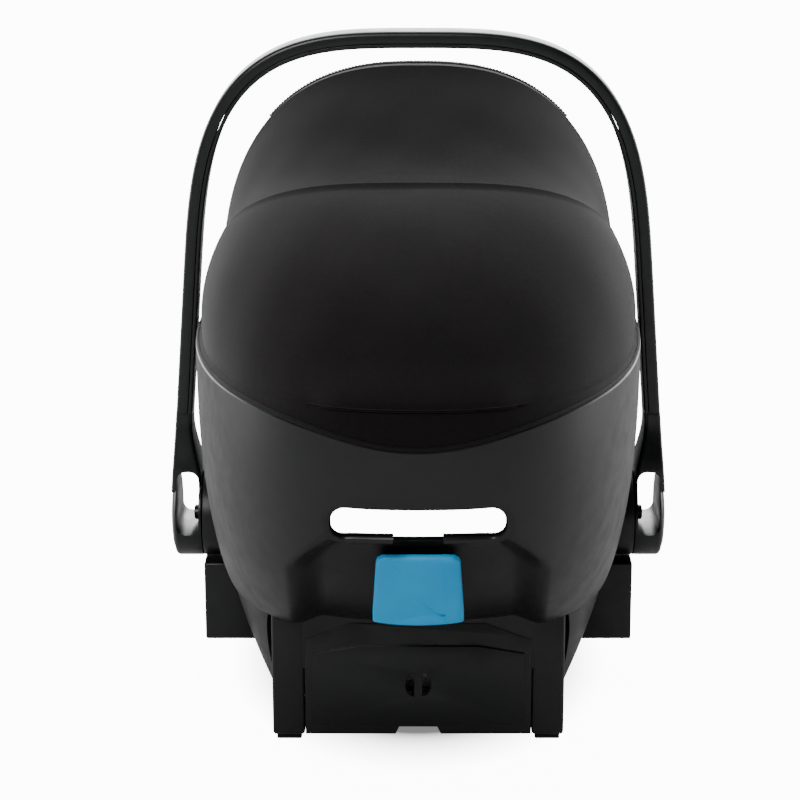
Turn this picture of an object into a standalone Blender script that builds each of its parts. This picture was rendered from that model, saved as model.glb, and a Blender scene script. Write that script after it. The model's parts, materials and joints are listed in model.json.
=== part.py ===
"""Infant car seat: a shell carrier with a swinging handle, a two-bow canopy, a foam liner,
a five-point harness and a rear release lever.

Metres. +Z is up, -Y is the head end, +Y the foot end and X runs across the seat. The origin is
on the floor, under the middle of the whole seat.
"""
import math

import bmesh
import bpy
from mathutils import Vector

# ---------------------------------------------------------------- driving dimensions
# Outer shell: a tub whose plan at every height is a rounded oval.
RIM_HALF_WIDTH = 0.1895
FLOOR_HALF_WIDTH = 0.128
HEAD_REACH = 0.330
FOOT_REACH = 0.330
RIM_HEIGHT = 0.325
HEAD_RIM_DIP = 0.025
HEAD_DIP_WIDTH = 0.095
FOOT_RIM_DROP = 0.030
BELLY_REACH = 0.178
BELLY_DROP = 0.196
TOE_REACH = 0.205
TOE_DROP = 0.235
PLAN_POWER = 2.5
FLARE_POWER = 2.55
SHELL_WALL = 0.0035
SKIRT_SIDE_BOTTOM = 0.012
SKIRT_HEAD_BOTTOM = 0.108
SKIRT_FOOT_BOTTOM = 0.100
SHELL_COLUMNS = 48
SHELL_ROWS = 8

# Finger recess and grip slot in the head end.
RECESS_TOP = 0.236
RECESS_DEPTH = 0.034
RECESS_HALF_WIDTH = 0.101
RECESS_TOP_HALF_WIDTH = 0.070
GRIP_HALF_WIDTH = 0.066
GRIP_BOTTOM = 0.2285
GRIP_TOP = 0.2510
GRIP_CORNER = 0.009

# Side rails under the tub, with rubber feet.
RAIL_INNER = 0.095
RAIL_OUTER = 0.122
RAIL_BACK = -0.178
RAIL_FRONT = 0.235
RAIL_TURN = 0.105
RAIL_BOTTOM = 0.006
RAIL_TOP = 0.118
FOOT_INSET = 0.003
REAR_FEET = (-0.172, -0.132)
FRONT_FEET = (0.080, 0.120)

# Rear cover between the rails.
COVER_THICKNESS = 0.004
COVER_SHOULDER_HEIGHT = 0.092
COVER_TOP_HEIGHT = 0.1065
COVER_TOP_HALF_WIDTH = 0.056
COVER_BOTTOM = 0.007
COVER_RAISE = 0.0018
COVER_SLOT = (0.0155, 0.0875, 0.0995)
COVER_HOLE_HEIGHT = 0.052
COVER_HOLE_RADIUS = 0.011
COVER_HOLE_RIB = 0.0018
COVER_NOTCH = (0.019, 0.0065)

# Foam liner: a bowl inside the tub.
LINER_GAP = 0.0115
LINER_TOP = 0.329
LINER_WALL = 0.014
LINER_COLUMNS = 30
BOWL_SHARES = (1.0, 0.98, 0.94, 0.88, 0.78, 0.65, 0.50, 0.34, 0.18, 0.07)
BOWL_POWER = 0.6
FLOOR_BASE = 0.128
FLOOR_SLOPE = 0.34
FLOOR_LOW_Y = 0.070
FLOOR_ROUND = 0.020

# Soft layers on the liner, each one lying on the one below.
LAYER_GAP = 0.0016
PAD_GAP = 0.0023
COVER_CLOTH = 0.004
SEAT_PAD = (0.0, 0.080, 0.108, 0.098, 0.020)
BACK_PAD = (0.0, -0.147, 0.104, 0.116, 0.018)
STRAP_WIDTH = 0.038
STRAP_THICKNESS = 0.0018
STRAP_LIFT = 0.0030
HIP_LIFT = 0.0055

# Handle: a hoop in an upright plane, pivoting on the hubs.
HUB_HEIGHT = 0.144
HUB_RADIUS = 0.038
HUB_INNER = 0.1912
HUB_OUTER = 0.2195
HUB_NECK_HEIGHT = 0.200
HUB_NECK_HALF = 0.0165
HUB_PLATE = 0.0043
HUB_SLOT_OUTER = 0.2110
HUB_SLOT_BOTTOM = 0.134
HUB_SLOT_CORNER = 0.0060
HUB_SLOT_TOP = 0.1875
HOOP_TOP = 0.567
HOOP_SHOULDER = 0.360
HOOP_POWER = 3.4
HOOP_REFERENCE_HEIGHT = 0.440
HOOP_REFERENCE_HALF = 0.1905
HOOP_SPLAY = 0.075
HOOP_STEPS = 32
BAR_THICKNESS = 0.0140
BAR_WIDTH = 0.031
CAP_THICKNESS = 0.0038
BAR_CHAMFER = 0.0035

# Hub lock inside each hub base.
HUB_BASE_OUTER = 0.1905
HUB_BORE = 0.0165
COLLAR_RADIUS = 0.0160
COLLAR_DEPTH = 0.0044
BUTTON_RADIUS = 0.0066
BUTTON_PROUD = 0.0042
BUTTON_TRAVEL = 0.0030
LOCK_THICKNESS = 0.0028
LOCK_RADIUS = 0.0155
BORE_FLOOR = 0.1790
RUNNING_GAP = 0.0005
SEAT_GAP = 0.0003
HULL_GAP = 0.0010

# Canopy: two bows on one pivot axis, fabric between them and a visor in front.
BOW_PIVOT_Y = 0.0
BOW_PIVOT_HEIGHT = 0.341
REAR_BOW_LEAN = -46.5
FRONT_BOW_LEAN = 12.0
VISOR_LEAN = 25.0
REAR_BOW_REACH = 0.1735
FRONT_BOW_REACH = 0.196
VISOR_REACH = 0.2085
REAR_BOW_HALF = 0.1772
FRONT_BOW_HALF = 0.1726
BOW_POWER = 3.2
FRONT_BOW_POWER = 2.6
BOW_DRAW = 0.0070
BOW_DRAW_RUN = 0.050
BOW_STRIP = (0.0026, 0.0060)
EYE_RADIUS = 0.0078
PIN_RADIUS = 0.0040
FABRIC_GAP = 0.0030
FABRIC_THICKNESS = 0.0025
DOME_CREASE = 0.331
DOME_BULGE = 0.019
SWELL_POWER = 0.8
PANEL_SAG = -0.010
CANOPY_COLUMNS = 24

# Release lever, its bracket and the latch under the tub.
LEVER_TOP = (-0.2960, 0.2055)
LEVER_BOTTOM = (-0.2620, 0.1410)
LEVER_TOP_HALF = 0.0330
LEVER_BOTTOM_HALF = 0.0362
LEVER_THICKNESS = 0.0040
LEVER_PIVOT_DROP = 0.010
LEVER_PIVOT_DEPTH = 0.0090
LEVER_PIN_RADIUS = 0.0018
LEVER_EYE_RADIUS = 0.0034
BRACKET_HALF = 0.0290
BRACKET_GAP = 0.0022
BRACKET_THICKNESS = 0.0014
LATCH_PIVOT = (-0.1350, 0.0760)
LATCH_PIN_RADIUS = 0.0040
LATCH_HALF = 0.0120
ANCHOR_RADIUS = 0.0050
REAR_ANCHOR = (-0.1620, 0.0300)
FRONT_ANCHOR = (0.1250, 0.0450)

# Stroller adapter sockets under the hubs.
SOCKET_OUTER = 0.1900
SOCKET_INNER = 0.1560
SOCKET_HALF_LENGTH = 0.029
SOCKET_BOTTOM = 0.034
SOCKET_TOP = 0.1054
SOCKET_WALL = 0.0060
SOCKET_DEPTH = 0.055

# Belt guides: back and front y, bottom and top z, outer face x and the lip's thickness.
BELT_GUIDE = (0.146, 0.180, 0.256, 0.288, 0.1875, 0.0030)

# Harness hardware.
BUCKLE = (0.062, 0.0230, 0.0270, 0.0200)
BUCKLE_BUTTON = (0.0100, 0.0085)
BUCKLE_TRAVEL = 0.0035
CLIP_Y = -0.022
CLIP_HALF = (0.0400, 0.0130)
CLIP_THICKNESS = 0.0070
ADJUSTER = (0.1880, 0.0170, 0.0120, 0.0100)
HEADREST = (-0.158, 0.082, 0.045, 0.020)
HEADREST_SLOPE = 0.470
HEADREST_LIFT = 0.0075
HEADREST_BOARD = 0.0030

ROUND_STEPS = 20
SIDES = (("left", -1.0), ("right", 1.0))

# colour, roughness and metallic value of each finish
FINISHES = {
    "shell_plastic": ((0.030, 0.031, 0.032), 0.36, 0.0),
    "handle_plastic": ((0.012, 0.015, 0.016), 0.34, 0.0),
    "base_plastic": ((0.010, 0.011, 0.012), 0.42, 0.0),
    "lever_plastic": ((0.000, 0.480, 0.880), 0.30, 0.0),
    "canopy_fabric": ((0.016, 0.013, 0.014), 0.90, 0.0),
    "seat_fabric": ((0.022, 0.020, 0.021), 0.90, 0.0),
    "foam": ((0.060, 0.060, 0.062), 0.85, 0.0),
    "webbing": ((0.012, 0.012, 0.013), 0.75, 0.0),
    "steel": ((0.550, 0.560, 0.580), 0.30, 1.0),
    "rubber": ((0.010, 0.010, 0.010), 0.80, 0.0),
    "red_plastic": ((0.550, 0.012, 0.010), 0.32, 0.0),
}


# ---------------------------------------------------------------- objects and materials
def clear_scene():
    for item in list(bpy.data.objects):
        bpy.data.objects.remove(item, do_unlink=True)


def finish_material(name):
    found = bpy.data.materials.get(name)
    if found:
        return found
    colour, roughness, metallic = FINISHES[name]
    made = bpy.data.materials.new(name)
    made.use_nodes = True
    shader = made.node_tree.nodes["Principled BSDF"]
    shader.inputs["Base Color"].default_value = (*colour, 1.0)
    shader.inputs["Roughness"].default_value = roughness
    shader.inputs["Metallic"].default_value = metallic
    return made


def add_object(name, form, finish=None, pivot=(0.0, 0.0, 0.0)):
    """Turn a bmesh in world coordinates into an object whose origin is at the pivot."""
    origin = Vector(pivot)
    bmesh.ops.recalc_face_normals(form, faces=form.faces)
    # Flat triangles, because a Boolean needs flat faces on curved walls.
    bmesh.ops.triangulate(form, faces=form.faces)
    bmesh.ops.translate(form, verts=form.verts, vec=-origin)
    mesh = bpy.data.meshes.new(name)
    form.to_mesh(mesh)
    form.free()
    mesh.shade_smooth()
    mesh.set_sharp_from_angle(angle=math.radians(40))
    item = bpy.data.objects.new(name, mesh)
    item.location = origin
    bpy.context.collection.objects.link(item)
    if finish:
        mesh.materials.append(finish_material(finish))
    return item


def add_tool(name, form):
    """A cutter or a shape to join: hidden from the render and left out of the part."""
    item = add_object(name, form)
    item.hide_render = True
    item.display_type = "WIRE"
    return item


def combine(item, tool, operation):
    modifier = item.modifiers.new(tool.name, "BOOLEAN")
    modifier.object = tool
    modifier.operation = operation
    modifier.solver = "EXACT"


def cut(item, name, form):
    combine(item, add_tool(name, form), "DIFFERENCE")


def join(item, name, form):
    combine(item, add_tool(name, form), "UNION")


# ---------------------------------------------------------------- solid shapes
def loft(rings, capped=True, closed=False):
    """A skin through rings of points; closed joins the last ring to the first."""
    form = bmesh.new()
    rows = [[form.verts.new(point) for point in ring] for ring in rings]
    count = len(rows[0])
    pairs = list(zip(rows, rows[1:]))
    if closed:
        pairs.append((rows[-1], rows[0]))
    for low, high in pairs:
        for i in range(count):
            j = (i + 1) % count
            form.faces.new((low[i], low[j], high[j], high[i]))
    if capped and not closed:
        form.faces.new(rows[0])
        form.faces.new(rows[-1])
    return form


def prism(outline, low, high, axis="x"):
    """Extrude a 2D outline: (y, z) along x, (x, z) along y or (x, y) along z."""
    place = {
        "x": lambda a, b, t: (t, a, b),
        "y": lambda a, b, t: (a, t, b),
        "z": lambda a, b, t: (a, b, t),
    }[axis]
    rings = [[place(a, b, level) for a, b in outline] for level in (low, high)]
    return loft(rings)


def block(low, high, bevel=0.0):
    (x0, y0, z0), (x1, y1, z1) = low, high
    form = prism([(x0, y0), (x1, y0), (x1, y1), (x0, y1)], z0, z1, "z")
    if bevel:
        bmesh.ops.recalc_face_normals(form, faces=form.faces)
        bmesh.ops.bevel(form, geom=list(form.edges), offset=bevel, segments=2,
                        profile=0.5, affect="EDGES")
    return form


def side_block(side, low, high, bevel=0.0):
    """A block whose x range is measured outwards from the middle on one side."""
    x0, x1 = sorted((side * low[0], side * high[0]))
    return block((x0, low[1], low[2]), (x1, high[1], high[2]), bevel)


def rounded_outline(half_a, half_b, radius, centre=(0.0, 0.0), steps=4):
    points = []
    corners = ((1, 1, 0), (-1, 1, 90), (-1, -1, 180), (1, -1, 270))
    for sign_a, sign_b, start in corners:
        for i in range(steps + 1):
            angle = math.radians(start + 90.0 * i / steps)
            a = sign_a * (half_a - radius) + radius * math.cos(angle)
            b = sign_b * (half_b - radius) + radius * math.sin(angle)
            points.append((centre[0] + a, centre[1] + b))
    return points


def turned(profile, y, z, side=1.0, steps=ROUND_STEPS, ring=False):
    """Turn (distance out from the middle, radius) points about an axis along x."""
    rings = []
    for out, radius in profile:
        circle = []
        for i in range(steps):
            angle = math.tau * i / steps
            circle.append((side * out, y + radius * math.cos(angle),
                           z + radius * math.sin(angle)))
        rings.append(circle)
    return loft(rings, closed=ring)


def tube_x(low, high, y, z, outer, inner, side=1.0, steps=ROUND_STEPS):
    profile = [(low, inner), (low, outer), (high, outer), (high, inner)]
    return turned(profile, y, z, side, steps, ring=True)


def rod_x(low, high, y, z, radius, side=1.0, steps=16):
    return turned([(low, radius), (high, radius)], y, z, side, steps)


def coil(centre, axis, radius, wire, turns, length, steps=10, sides=4):
    """A round wire wound about an axis along x or z, from its low end upwards."""
    count = int(turns * steps)
    rings = []
    for i in range(count + 1):
        angle = math.tau * i / steps
        along = length * (i / count - 0.5)
        outward = (math.cos(angle), math.sin(angle))
        ring = []
        for k in range(sides):
            turn = math.tau * k / sides
            reach = radius + wire * math.cos(turn)
            lift = along + wire * math.sin(turn)
            a, b = outward[0] * reach, outward[1] * reach
            offset = (lift, a, b) if axis == "x" else (a, b, lift)
            ring.append(Vector(centre) + Vector(offset))
        rings.append(ring)
    return loft(rings)


def hoop(path, centre, lean, section):
    """Sweep a section along (x, reach) points in a plane through an axis along x.

    The plane leans from upright by lean degrees, towards the foot end when positive. The
    section's points are (out of the hoop, along the plane's normal).
    """
    up = Vector((0.0, math.sin(math.radians(lean)), math.cos(math.radians(lean))))
    across = Vector((1.0, 0.0, 0.0))
    normal = across.cross(up)
    rings = []
    for i, (x, reach) in enumerate(path):
        before = path[max(i - 1, 0)]
        after = path[min(i + 1, len(path) - 1)]
        tangent = Vector((after[0] - before[0], after[1] - before[1])).normalized()
        outward = across * tangent[1] - up * tangent[0]
        middle = Vector(centre) + across * x + up * reach
        rings.append([middle + outward * a + normal * b for a, b in section])
    return loft(rings)


def power_arc(count, power):
    """Cosine and sine of a half turn, squared off by the power."""
    values = []
    for i in range(count + 1):
        angle = math.pi * i / count
        c, s = math.cos(angle), math.sin(angle)
        values.append((math.copysign(abs(c) ** (2 / power), c), abs(s) ** (2 / power)))
    return values


def bar_section(out_low, out_high, width, chamfer_high, chamfer_low):
    half = width / 2
    return [
        (out_high, -half + chamfer_high), (out_high, half - chamfer_high),
        (out_high - chamfer_high, half), (out_low + chamfer_low, half),
        (out_low, half - chamfer_low), (out_low, -half + chamfer_low),
        (out_low + chamfer_low, -half), (out_high - chamfer_high, -half),
    ]


def smooth(value):
    value = min(max(value, 0.0), 1.0)
    return value * value * (3.0 - 2.0 * value)


# ---------------------------------------------------------------- outer shell surface
def oval(angle, power=PLAN_POWER):
    c, s = math.cos(angle), math.sin(angle)
    return (math.copysign(abs(c) ** (2 / power), c), math.copysign(abs(s) ** (2 / power), s))


def half_width(z):
    rise = max(0.0, 1.0 - z / RIM_HEIGHT)
    return RIM_HALF_WIDTH - (RIM_HALF_WIDTH - FLOOR_HALF_WIDTH) * rise ** FLARE_POWER


def reach_at(z, rim, belly, drop, level):
    fall = min(max(0.0, (level - z) / drop), 1.0)
    return belly + (rim - belly) * math.sqrt(1.0 - fall * fall)


def head_reach(z):
    return reach_at(z, HEAD_REACH, BELLY_REACH, BELLY_DROP, RIM_HEIGHT - HEAD_RIM_DIP)


def foot_reach(z):
    return reach_at(z, FOOT_REACH, TOE_REACH, TOE_DROP, RIM_HEIGHT - FOOT_RIM_DROP)


def rim_height(angle):
    c, s = oval(angle)
    if s < 0.0:
        x = c * RIM_HALF_WIDTH
        return RIM_HEIGHT - HEAD_RIM_DIP * math.exp(-((x / HEAD_DIP_WIDTH) ** 2))
    return RIM_HEIGHT - FOOT_RIM_DROP * s * s


def skirt_bottom(angle):
    s = math.sin(angle)
    if s < 0.0:
        rise = smooth((-s - 0.45) / 0.30)
        return SKIRT_SIDE_BOTTOM + (SKIRT_HEAD_BOTTOM - SKIRT_SIDE_BOTTOM) * rise
    rise = smooth((s - 0.35) / 0.45)
    return SKIRT_SIDE_BOTTOM + (SKIRT_FOOT_BOTTOM - SKIRT_SIDE_BOTTOM) * rise


def recess_push(x, y, z):
    """How far the finger recess moves the head end's wall inwards."""
    if y > -0.1 or z > RECESS_TOP:
        return 0.0
    drop = RECESS_TOP - z
    half = RECESS_TOP_HALF_WIDTH + (RECESS_HALF_WIDTH - RECESS_TOP_HALF_WIDTH) * smooth(drop / 0.05)
    edge = smooth((half - abs(x)) / 0.022)
    return RECESS_DEPTH * edge * smooth(drop / 0.028)


def shell_point(angle, z, spread=0.0):
    """A point of the tub's outer surface at a height; spread moves it outwards."""
    c, s = oval(angle)
    x = c * (half_width(z) + spread)
    y = s * ((head_reach(z) if s < 0 else foot_reach(z)) + spread)
    if not spread:
        y += recess_push(x, y, z)
    return Vector((x, y, z))


def shell_angles(count):
    return [math.tau * i / count for i in range(count)]


def shell_hull(spread):
    """A closed tub a little larger than the shell, to trim what stands against it."""
    levels = [RIM_HEIGHT * k / 12 for k in range(13)] + [RIM_HEIGHT + 0.04]
    rings = [[shell_point(a, min(z, RIM_HEIGHT), spread) + Vector((0, 0, max(z - RIM_HEIGHT, 0)))
              for a in shell_angles(SHELL_COLUMNS)] for z in levels]
    return loft(rings)


def wall_between(outer_rows, inner_rows):
    """A closed wall from an outer and an inner grid, both as rings from top to bottom."""
    return loft(list(outer_rows) + list(reversed(inner_rows)), closed=True)


def shell_skirt():
    outer, inner = [], []
    for row in range(SHELL_ROWS + 1):
        part = row / SHELL_ROWS
        ring, ring_in = [], []
        for angle in shell_angles(SHELL_COLUMNS):
            top, bottom = rim_height(angle), skirt_bottom(angle)
            z = top + (bottom - top) * part
            point = shell_point(angle, z)
            ring.append(point)
            c, s = oval(angle)
            toward = Vector((-c, -s, 0.0)).normalized()
            slope = Vector((0.0, 0.0, 1.0)) * smooth((0.2 - z) / 0.12) * abs(s)
            ring_in.append(point + (toward + slope).normalized() * SHELL_WALL)
        outer.append(ring)
        inner.append(ring_in)
    return wall_between(outer, inner)


def rail(side):
    outline = [(RAIL_BACK, RAIL_BOTTOM), (RAIL_FRONT - RAIL_TURN, RAIL_BOTTOM)]
    for i in range(1, 7):
        angle = math.radians(90 * i / 6)
        outline.append((RAIL_FRONT - RAIL_TURN + RAIL_TURN * math.sin(angle),
                        RAIL_BOTTOM + 0.075 * (1 - math.cos(angle))))
    outline += [(RAIL_FRONT, RAIL_TOP), (RAIL_BACK, RAIL_TOP)]
    low, high = sorted((side * RAIL_INNER, side * RAIL_OUTER))
    return prism(outline, low, high)


def outer_shell():
    item = add_object("outer_shell", shell_skirt(), "shell_plastic")
    for name, side in SIDES:
        join(item, f"rail_{name}", rail(side))
    centre = (0.0, (GRIP_BOTTOM + GRIP_TOP) / 2)
    grip = rounded_outline(GRIP_HALF_WIDTH, (GRIP_TOP - GRIP_BOTTOM) / 2, GRIP_CORNER, centre)
    cut(item, "grip_cut", prism(grip, -0.36, -0.24, "y"))
    for name, (y, z) in (("rear_anchor_cut", REAR_ANCHOR), ("front_anchor_cut", FRONT_ANCHOR)):
        reach = RAIL_INNER + 0.010
        cut(item, name, rod_x(-reach, reach, y, z, ANCHOR_RADIUS + SEAT_GAP))
    reach = RAIL_INNER + 0.010
    cut(item, "latch_shaft_cut", rod_x(-reach, reach, *LATCH_PIVOT, LATCH_PIN_RADIUS + SEAT_GAP))
    return item


def rear_cover():
    back = RAIL_BACK
    edge = RAIL_INNER - RUNNING_GAP
    half = [(edge, COVER_BOTTOM), (edge, COVER_SHOULDER_HEIGHT), (edge - 0.012, 0.096),
            (COVER_TOP_HALF_WIDTH, COVER_TOP_HEIGHT)]
    notch_half, notch_height = COVER_NOTCH
    notch = [(-notch_half, COVER_BOTTOM), (-notch_half + 0.003, COVER_BOTTOM + notch_height),
             (notch_half - 0.003, COVER_BOTTOM + notch_height), (notch_half, COVER_BOTTOM)]
    outline = notch + half + [(-x, z) for x, z in reversed(half)]
    item = add_object("rear_cover", prism(outline, back, back + COVER_THICKNESS, "y"),
                      "base_plastic")
    inset = edge - 0.006
    raised = [(inset, COVER_BOTTOM + 0.010), (inset, 0.080), (0.05, 0.0865), (-0.05, 0.0865),
              (-inset, 0.080), (-inset, COVER_BOTTOM + 0.010)]
    join(item, "cover_raise", prism(raised, back - COVER_RAISE, back + 0.001, "y"))
    slot_half, slot_low, slot_high = COVER_SLOT
    cut(item, "cover_slot", block((-slot_half, back - 0.01, slot_low),
                                  (slot_half, back + 0.02, slot_high)))
    for name, side in SIDES:
        moon = []
        for i in range(9):
            angle = math.radians(-80 + 160 * i / 8)
            moon.append((side * (COVER_HOLE_RIB + (COVER_HOLE_RADIUS - COVER_HOLE_RIB)
                                 * math.cos(angle)),
                         COVER_HOLE_HEIGHT + COVER_HOLE_RADIUS * math.sin(angle)))
        cut(item, f"cover_moon_{name}", prism(moon, back - 0.01, back + 0.02, "y"))
    return item


def feet():
    low, high = RAIL_INNER + FOOT_INSET, RAIL_OUTER - FOOT_INSET
    top = RAIL_BOTTOM - SEAT_GAP
    for name, side in SIDES:
        for place, (back, front) in (("rear", REAR_FEET), ("front", FRONT_FEET)):
            add_object(f"{place}_foot_{name}",
                       side_block(side, (low, back, 0.0), (high, front, top), 0.001), "rubber")


# ---------------------------------------------------------------- foam liner and soft layers
def floor_height(y):
    return FLOOR_BASE + math.hypot(FLOOR_SLOPE * (FLOOR_LOW_Y - y), FLOOR_ROUND)


def bowl_height(x, y, inset):
    """Height of a bowl surface that lies inset metres inside the liner's outer surface."""
    wide = RIM_HALF_WIDTH - LINER_GAP - inset
    reach = (HEAD_REACH if y < 0 else FOOT_REACH) - LINER_GAP - inset
    share = ((abs(x) / wide) ** PLAN_POWER + (abs(y) / reach) ** PLAN_POWER) ** (1 / PLAN_POWER)
    steep = math.sqrt(max(0.0, 1.0 - min(share, 1.0) ** (2 / BOWL_POWER)))
    return LINER_TOP - (LINER_TOP - floor_height(y) - inset) * steep


def bowl_rings(inset, top):
    """Rings of a bowl surface from its rim down; the rim drops towards the foot end."""
    rings = []
    for share in BOWL_SHARES:
        ring = []
        for angle in shell_angles(LINER_COLUMNS):
            c, s = oval(angle)
            rim = top - (FOOT_RIM_DROP * s * s if s > 0 else 0.0)
            x = share * c * (RIM_HALF_WIDTH - LINER_GAP - inset)
            y = share * s * ((HEAD_REACH if s < 0 else FOOT_REACH) - LINER_GAP - inset)
            ring.append(Vector((x, y, min(bowl_height(x, y, inset), rim))))
        rings.append(ring)
    return rings


def bowl(name, outside, inside, top, finish):
    rings = list(reversed(bowl_rings(outside, top))) + bowl_rings(inside, top)
    return add_object(name, loft(rings), finish)


def pad(centre, half, base, thickness, power=3.0, columns=20, edge=0.004):
    """A cushion on a base surface: an oval in plan, crowned on top."""
    rings = []
    shares = (0.3, 0.6, 0.85, 1.0)
    top_shares = (1.0, 0.96, 0.85, 0.6, 0.3)
    outline = [oval(math.tau * i / columns, power) for i in range(columns)]

    def ring(share, lift):
        points = []
        for c, s in outline:
            x, y = centre[0] + share * c * half[0], centre[1] + share * s * half[1]
            points.append(Vector((x, y, base(x, y) + lift)))
        return points

    for share in shares:
        rings.append(ring(share, 0.0))
    for share in top_shares:
        crown = edge + (thickness - edge) * math.sqrt(max(0.0, 1.0 - share ** 4))
        rings.append(ring(share, crown))
    return loft(rings)


COVER_INSET = LINER_WALL + LAYER_GAP
PAD_INSET = COVER_INSET + COVER_CLOTH + PAD_GAP


def cover_top(x, y):
    return bowl_height(x, y, PAD_INSET)


def pad_lift(x, y, spec):
    """The crown of a pad at a point, or nothing outside its outline."""
    cx, cy, half_x, half_y, thickness = spec
    share = ((abs(x - cx) / half_x) ** 3 + (abs(y - cy) / half_y) ** 3) ** (1 / 3)
    if share >= 1.0:
        return 0.0
    return 0.004 + (thickness - 0.004) * math.sqrt(1.0 - share ** 4)


def cushion_top(x, y):
    return cover_top(x, y) + max(pad_lift(x, y, SEAT_PAD), pad_lift(x, y, BACK_PAD))


def soft_goods():
    bowl("foam_liner", 0.0, LINER_WALL, LINER_TOP, "foam")
    bowl("seat_cover", COVER_INSET, COVER_INSET + COVER_CLOTH, LINER_TOP, "seat_fabric")
    for name, spec in (("seat_cushion", SEAT_PAD), ("back_cushion", BACK_PAD)):
        cx, cy, half_x, half_y, thickness = spec
        add_object(name, pad((cx, cy), (half_x, half_y), cover_top, thickness), "seat_fabric")


# ---------------------------------------------------------------- harness
def band(points, width, lift, thickness, base):
    """A flat strap that follows plan points over a base surface."""
    rings = []
    for i, (x, y) in enumerate(points):
        before, after = points[max(i - 1, 0)], points[min(i + 1, len(points) - 1)]
        along = Vector((after[0] - before[0], after[1] - before[1])).normalized()
        side = Vector((-along[1], along[0])) * width / 2
        ring = []
        for sign, up in ((-1, 0), (0, 0), (1, 0), (1, 1), (0, 1), (-1, 1)):
            px, py = x + sign * side[0], y + sign * side[1]
            ring.append(Vector((px, py, base(px, py) + lift + up * thickness)))
        rings.append(ring)
    return loft(rings)


def spread_points(route, count):
    """Points spaced along a route of plan points joined by straight runs."""
    knots = [Vector(point) for point in route]
    lengths = [0.0]
    for a, b in zip(knots, knots[1:]):
        lengths.append(lengths[-1] + (b - a).length)
    points = []
    for i in range(count + 1):
        at = lengths[-1] * i / count
        k = max(j for j in range(len(knots) - 1) if lengths[j] <= at + 1e-9)
        part = (at - lengths[k]) / (lengths[k + 1] - lengths[k])
        points.append(tuple(knots[k].lerp(knots[k + 1], min(part, 1.0))))
    return points


def flat_top(centre, half):
    """The highest point of the cushions under a rectangle, for a rigid piece to lie on."""
    steps = [i / 4 for i in range(-4, 5)]
    return max(cushion_top(centre[0] + a * half[0], centre[1] + b * half[1])
               for a in steps for b in steps)


def buckle():
    y, half_x, half_y, height = BUCKLE
    base = flat_top((0.0, y), (half_x, half_y)) + 0.003
    top = base + height
    middle = base + height / 2
    pivot = (0.0, y, top)
    housing = add_object("buckle_housing", block((-half_x, y - half_y, base),
                                                 (half_x, y + half_y, top), 0.004),
                         "base_plastic")
    button_x, button_y = BUCKLE_BUTTON
    deep = BUCKLE_TRAVEL + 0.0085
    cut(housing, "buckle_well", block((-button_x - RUNNING_GAP, y - button_y - RUNNING_GAP,
                                       top - deep),
                                      (button_x + RUNNING_GAP, y + button_y + RUNNING_GAP,
                                       top + 0.01)))
    add_object("buckle_button", block((-button_x, y - button_y, top - 0.0042),
                                      (button_x, y + button_y, top + 0.0012), 0.001),
               "red_plastic", pivot)
    spring_low = top - deep + SEAT_GAP
    spring_high = top - 0.0042 - SEAT_GAP
    wire = 0.0005
    add_object("buckle_spring", coil((0.0, y, (spring_low + spring_high) / 2), "z", 0.0040,
                                     wire, 3, spring_high - spring_low - 2 * wire), "steel")
    for name, side in SIDES:
        low, high = middle - 0.0011, middle + 0.0011
        gap = 0.0004
        inside, outside = 0.0020, 0.0180
        tip = y - half_y
        cut(housing, f"tongue_cut_{name}",
            side_block(side, (inside - gap, tip - 0.01, low - gap),
                       (outside + gap, tip + 0.012 + gap, high + gap)))
        tongue = add_object(f"buckle_tongue_{name}",
                            side_block(side, (inside, tip - 0.018, low),
                                       (outside, tip + 0.012, high)), "steel")
        cut(tongue, f"tongue_slot_{name}",
            side_block(side, (inside + 0.003, tip - 0.015, low - 0.01),
                       (outside - 0.003, tip - 0.009, high + 0.01)))


def straps():
    y, _, half_y, _ = BUCKLE
    tongue_end = y - half_y - 0.019
    for name, side in SIDES:
        route = [(side * 0.036, HEADREST[0] + HEADREST[2] + 0.004), (side * 0.040, -0.060),
                 (side * 0.043, tongue_end)]
        add_object(f"shoulder_strap_{name}",
                   band(spread_points(route, 12), STRAP_WIDTH, STRAP_LIFT, STRAP_THICKNESS,
                        cushion_top), "webbing")
        hip = [(side * 0.112, 0.050), (side * 0.070, 0.050)]
        add_object(f"hip_strap_{name}",
                   band(spread_points(hip, 6), STRAP_WIDTH * 0.8, HIP_LIFT, STRAP_THICKNESS,
                        cushion_top), "webbing")
        cushion = [(side * 0.037, -0.104), (side * 0.041, -0.042)]
        lift = STRAP_LIFT + STRAP_THICKNESS + PAD_GAP
        add_object(f"shoulder_pad_{name}",
                   band(spread_points(cushion, 6), STRAP_WIDTH + 0.008, lift, 0.007,
                        cushion_top), "seat_fabric")
    crotch = [(0.0, y + half_y + 0.001), (0.0, y + half_y + 0.034)]
    add_object("crotch_strap", band(spread_points(crotch, 4), STRAP_WIDTH, STRAP_LIFT,
                                    STRAP_THICKNESS, cushion_top), "webbing")


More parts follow.
